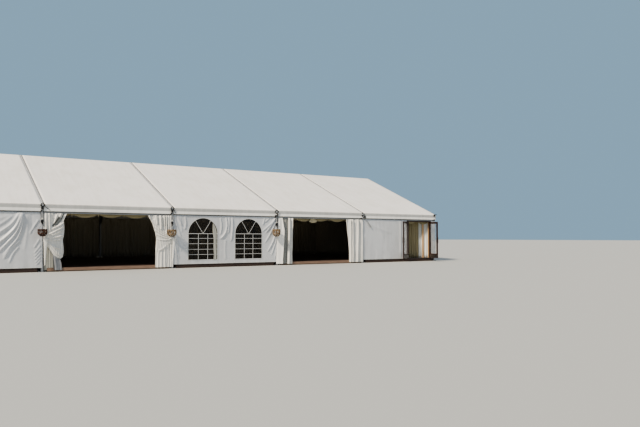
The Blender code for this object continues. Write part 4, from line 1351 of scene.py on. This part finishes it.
def build_curtains():
    """The four curtains, the flap and the backings beside them, their ties and the linings."""
    # The tail, the hollow and the valleys of the bay 4 curtain take darker cloths as painted shade.
    def tail_4(u, z):
        return z < np.interp(u, *zip(*left_4_hem)) - 0.010

    def hollow_4(u, z):
        path = ((0.64, 2.03), (0.58, 1.93), (0.50, 1.83), (0.38, 1.73), (0.30, 1.68))
        return raised(u, z, path, 1.0, 0.080) > 0.5

    def valleys_4(u, z):
        path = ((0.57, 2.05), (0.51, 1.98), (0.44, 1.86), (0.345, 1.735), (0.30, 1.69))
        wide = raised(u, z, path, 1.0, 0.045)
        thin = raised(u, z, ((0.73, 2.24), (0.69, 2.12), (0.645, 2.00), (0.63, 1.95)), 1.0, 0.028)
        return np.maximum(wide, thin) > 0.5

    straight = ((0.05, 0.004), (2.19, 0.004))
    gathered("curtain_cloth_bay_4_left", "curtain_left_bay_4", -7.5, 1,
             ((0.05, 0.40), (0.35, 0.38), (0.62, 0.34), (0.80, 0.24), (0.98, 0.12), (1.14, 0.01),
              (2.19, 0.004)),
             ((0.05, 0.683), (0.31, 0.660), (0.46, 0.630), (0.505, 0.665), (0.55, 0.715), (0.74, 0.735),
              (1.19, 0.705), (1.34, 0.735), (1.70, 0.745), (1.91, 0.725), (2.05, 0.775), (2.19, 0.835)),
             left_4_folds, (1.70, 2.13), form=tied_form(left_4_hem, left_4_tail, lift=0.060, fall=1.0),
             rolled=0.045,
             shaded_patches=((tail_4, tail_shade_cloth), (hollow_4, backing_shade_cloth), (valleys_4, painted_shade_cloth)))
    gathered("curtain_cloth_bay_4_right", "curtain_right_bay_4", -2.5, -1, straight,
             ((0.05, 0.730), (0.60, 0.735), (0.90, 0.715), (1.24, 0.715), (1.48, 0.745), (1.64, 0.80),
              (1.80, 0.86), (1.95, 0.93), (2.10, 1.02), (2.19, 1.065)), right_4_folds, (2.05, 2.13),
             form=tied_form(right_4_hem, ((0.04, 0.25, 0.80), (1.2, 0.20, 0.80)), recess=0.030, lift=0.022),
             rolled=0.045)
    gathered("curtain_cloth_bay_2_left", "curtain_left_bay_2", 2.5, 1,
             ((0.05, 0.510), (1.2, 0.548), (2.19, 0.560)),
             ((0.05, 0.795), (0.60, 0.800), (1.25, 0.820), (1.80, 0.828), (2.19, 0.845)), left_2_folds,
             (0.72, 2.13), pleats=3)
    gathered("curtain_cloth_bay_2_right", "curtain_right_bay_2", 7.5, -1, straight,
             ((0.05, 0.86), (0.80, 0.875), (1.20, 0.925), (1.60, 0.975), (2.19, 1.055)), right_2_folds,
             (2.30, 2.13), rolled=0.035)

    def flap(across, upward):
        z = 0.06 + upward * 2.126
        left = np.interp(z, (0.29, 1.25, 2.13), (2.44, 2.47, 2.53))
        right = np.interp(z, (0.29, 1.15, 1.63, 2.21), (2.74, 2.82, 2.84, 2.72))
        x = left + across * (right - left)
        out = 0.095 * across * (1.0 - 0.5 * upward) + 0.008 * np.sin(6 * across + 1.4 * upward)
        out = out + raised(x, z, ((2.70, 2.35), (2.71, 2.0), (2.74, 1.60)), -0.024, 0.016)
        out = out + raised(x, z, ((2.62, 2.35), (2.62, 2.0), (2.60, 1.5)), 0.016, 0.03)
        return x, -6.060 - out, z

    def slat(across, upward):
        pleat = 0.006 * np.sin(2 * math.pi * 4 * across + 1.5 * upward)
        fold = 0.016 * np.exp(-((across - 0.48) / 0.09) ** 2)
        return 2.80 - 0.06 * (1 - upward) + 0.29 * across, -6.028 - pleat - fold, 0.06 + upward * 2.126

    def liner(across, upward):
        pleat = 0.005 * np.sin(2 * math.pi * 5 * across + 1.5 * upward)
        return -7.43 + 0.46 * across, -5.990 - pleat, 0.06 + upward * 2.120

    # The bay 2 flap takes the whiter copy as painted light, and the two backings take grey cloths as painted
    # shade.
    for name, place, flat, cloth in (("entrance_flap_bay_2", flap, (0.36, 2.126), lit_tie_cloth),
                                     ("entrance_backing_bay_2", slat, (0.33, 2.126), backing_shade_cloth),
                                     ("entrance_backing_bay_4", liner, (0.48, 2.120), flap_shade_cloth)):
        piece = cloth_piece(name, (30, 60), flat, place, cloth, tie_gauge)
    tie_tail("tie_tail_bay_4_left", -7.42, 1.24, 0.25, -0.010)
    tie_tail("tie_tail_bay_4_right", -2.47, 1.26, 0.30, -0.07)
    tie_knot("tie_knot_bay_4_left", -7.5, 1.225, 1)
    tie_knot("tie_knot_bay_4_right", -2.5, 1.235, -1)
    for bay in (2, 4):
        swags(f"bay_{bay}", frame_lines[bay] + 0.05, frame_lines[bay - 1] - 0.05)
    swags("door", 10.40, 12.22, 2, 0.165)
    lining_tail(4.52, 0.46, 1.985)
    build_lining()


def build_fittings():
    for side_name, centre in window_centres.items():
        glazing(side_name, centre)
    door_dressing("left", 1)
    door_dressing("right", -1)
    door_surround()
    for number, x in enumerate(inner_lines, start=2):
        for side_name, side in sides.items():
            eave_fitting(number, x, side_name, side)
    hanging_basket(3, 2.31, 0.170, 1.63, 0.30, pale_willow)
    hanging_basket(4, -2.64, 0.170, 1.575, 0.255, pale_willow)
    hanging_basket(5, -7.56, 0.152, 1.555, 0.225, dark_willow)
    for end_name, end in ends.items():
        for side_name, side in sides.items():
            corner_arm(end_name, end, side_name, side)
    frame_dressing()


build_roof_and_walls()
build_curtains()
build_fittings()


# Stage, light and camera

def stage_floor():
    """A plain pale floor."""
    bm = bmesh.new()
    bmesh.ops.create_grid(bm, x_segments=8, y_segments=8, size=260.0)
    bmesh.ops.translate(bm, verts=bm.verts, vec=(0.0, 60.0, -0.0015))
    mesh = bpy.data.meshes.new("stage_floor")
    bm.to_mesh(mesh)
    bm.free()
    material, _, shader = start_material("stage_floor", Roughness=0.9)
    shader.inputs["Base Color"].default_value = linear("#B4B5B1")
    mesh.materials.append(material)
    link(bpy.data.objects.new("stage_floor", mesh))


def light_object(name, kind, energy, colour, **settings):
    light = bpy.data.lights.new(name, kind)
    light.energy = energy
    light.color = linear(colour)[:3]
    for setting, value in settings.items():
        setattr(light, setting, value)
    return link(bpy.data.objects.new(name, light))


def studio():
    """A broad warm key from the left, an even cool sky and the glow that comes through the roof."""
    toward_key = Vector((-0.72, -0.25, 0.645))
    key = light_object("key", "SUN", 4.8, "#FFF0DC", angle=math.radians(7))
    key.rotation_euler = (-toward_key).to_track_quat("-Z", "Y").to_euler()
    glow = light_object("through_roof", "AREA", 8.0, "#FFE9C4", shape="RECTANGLE", size=24.0, size_y=0.8)
    glow.location = (0.0, 5.0, 2.70)
    glow.visible_camera = False
    world = bpy.data.worlds.new("studio")
    bpy.context.scene.world = world
    world.use_nodes = True
    tree = world.node_tree
    tree.nodes.clear()
    seen = add(tree, "ShaderNodeBackground", {"Color": linear("#88A5B9"), "Strength": 1.0})
    light = add(tree, "ShaderNodeBackground", {"Color": linear("#CFDCEA"), "Strength": 0.66})
    bpy.context.scene.view_settings.look = "AgX - Medium High Contrast"
    which = add(tree, "ShaderNodeLightPath").outputs["Is Camera Ray"]
    mixed = add(tree, "ShaderNodeMixShader", {0: which, 1: light.outputs[0], 2: seen.outputs[0]})
    add(tree, "ShaderNodeOutputWorld", {"Surface": mixed.outputs[0]})


def camera():
    """Where the photograph was taken from, with its lens."""
    data = bpy.data.cameras.new("camera")
    data.sensor_width = 36.0
    data.lens = 34.16
    data.clip_end = 1000.0
    eye = link(bpy.data.objects.new("camera", data))
    eye.location = (-11.474, -30.525, 1.280)
    eye.rotation_euler = (math.radians(90 + 2.265), 0.0, -math.atan2(0.5553, 0.8317))
    bpy.context.scene.camera = eye


stage_floor()
studio()
camera()
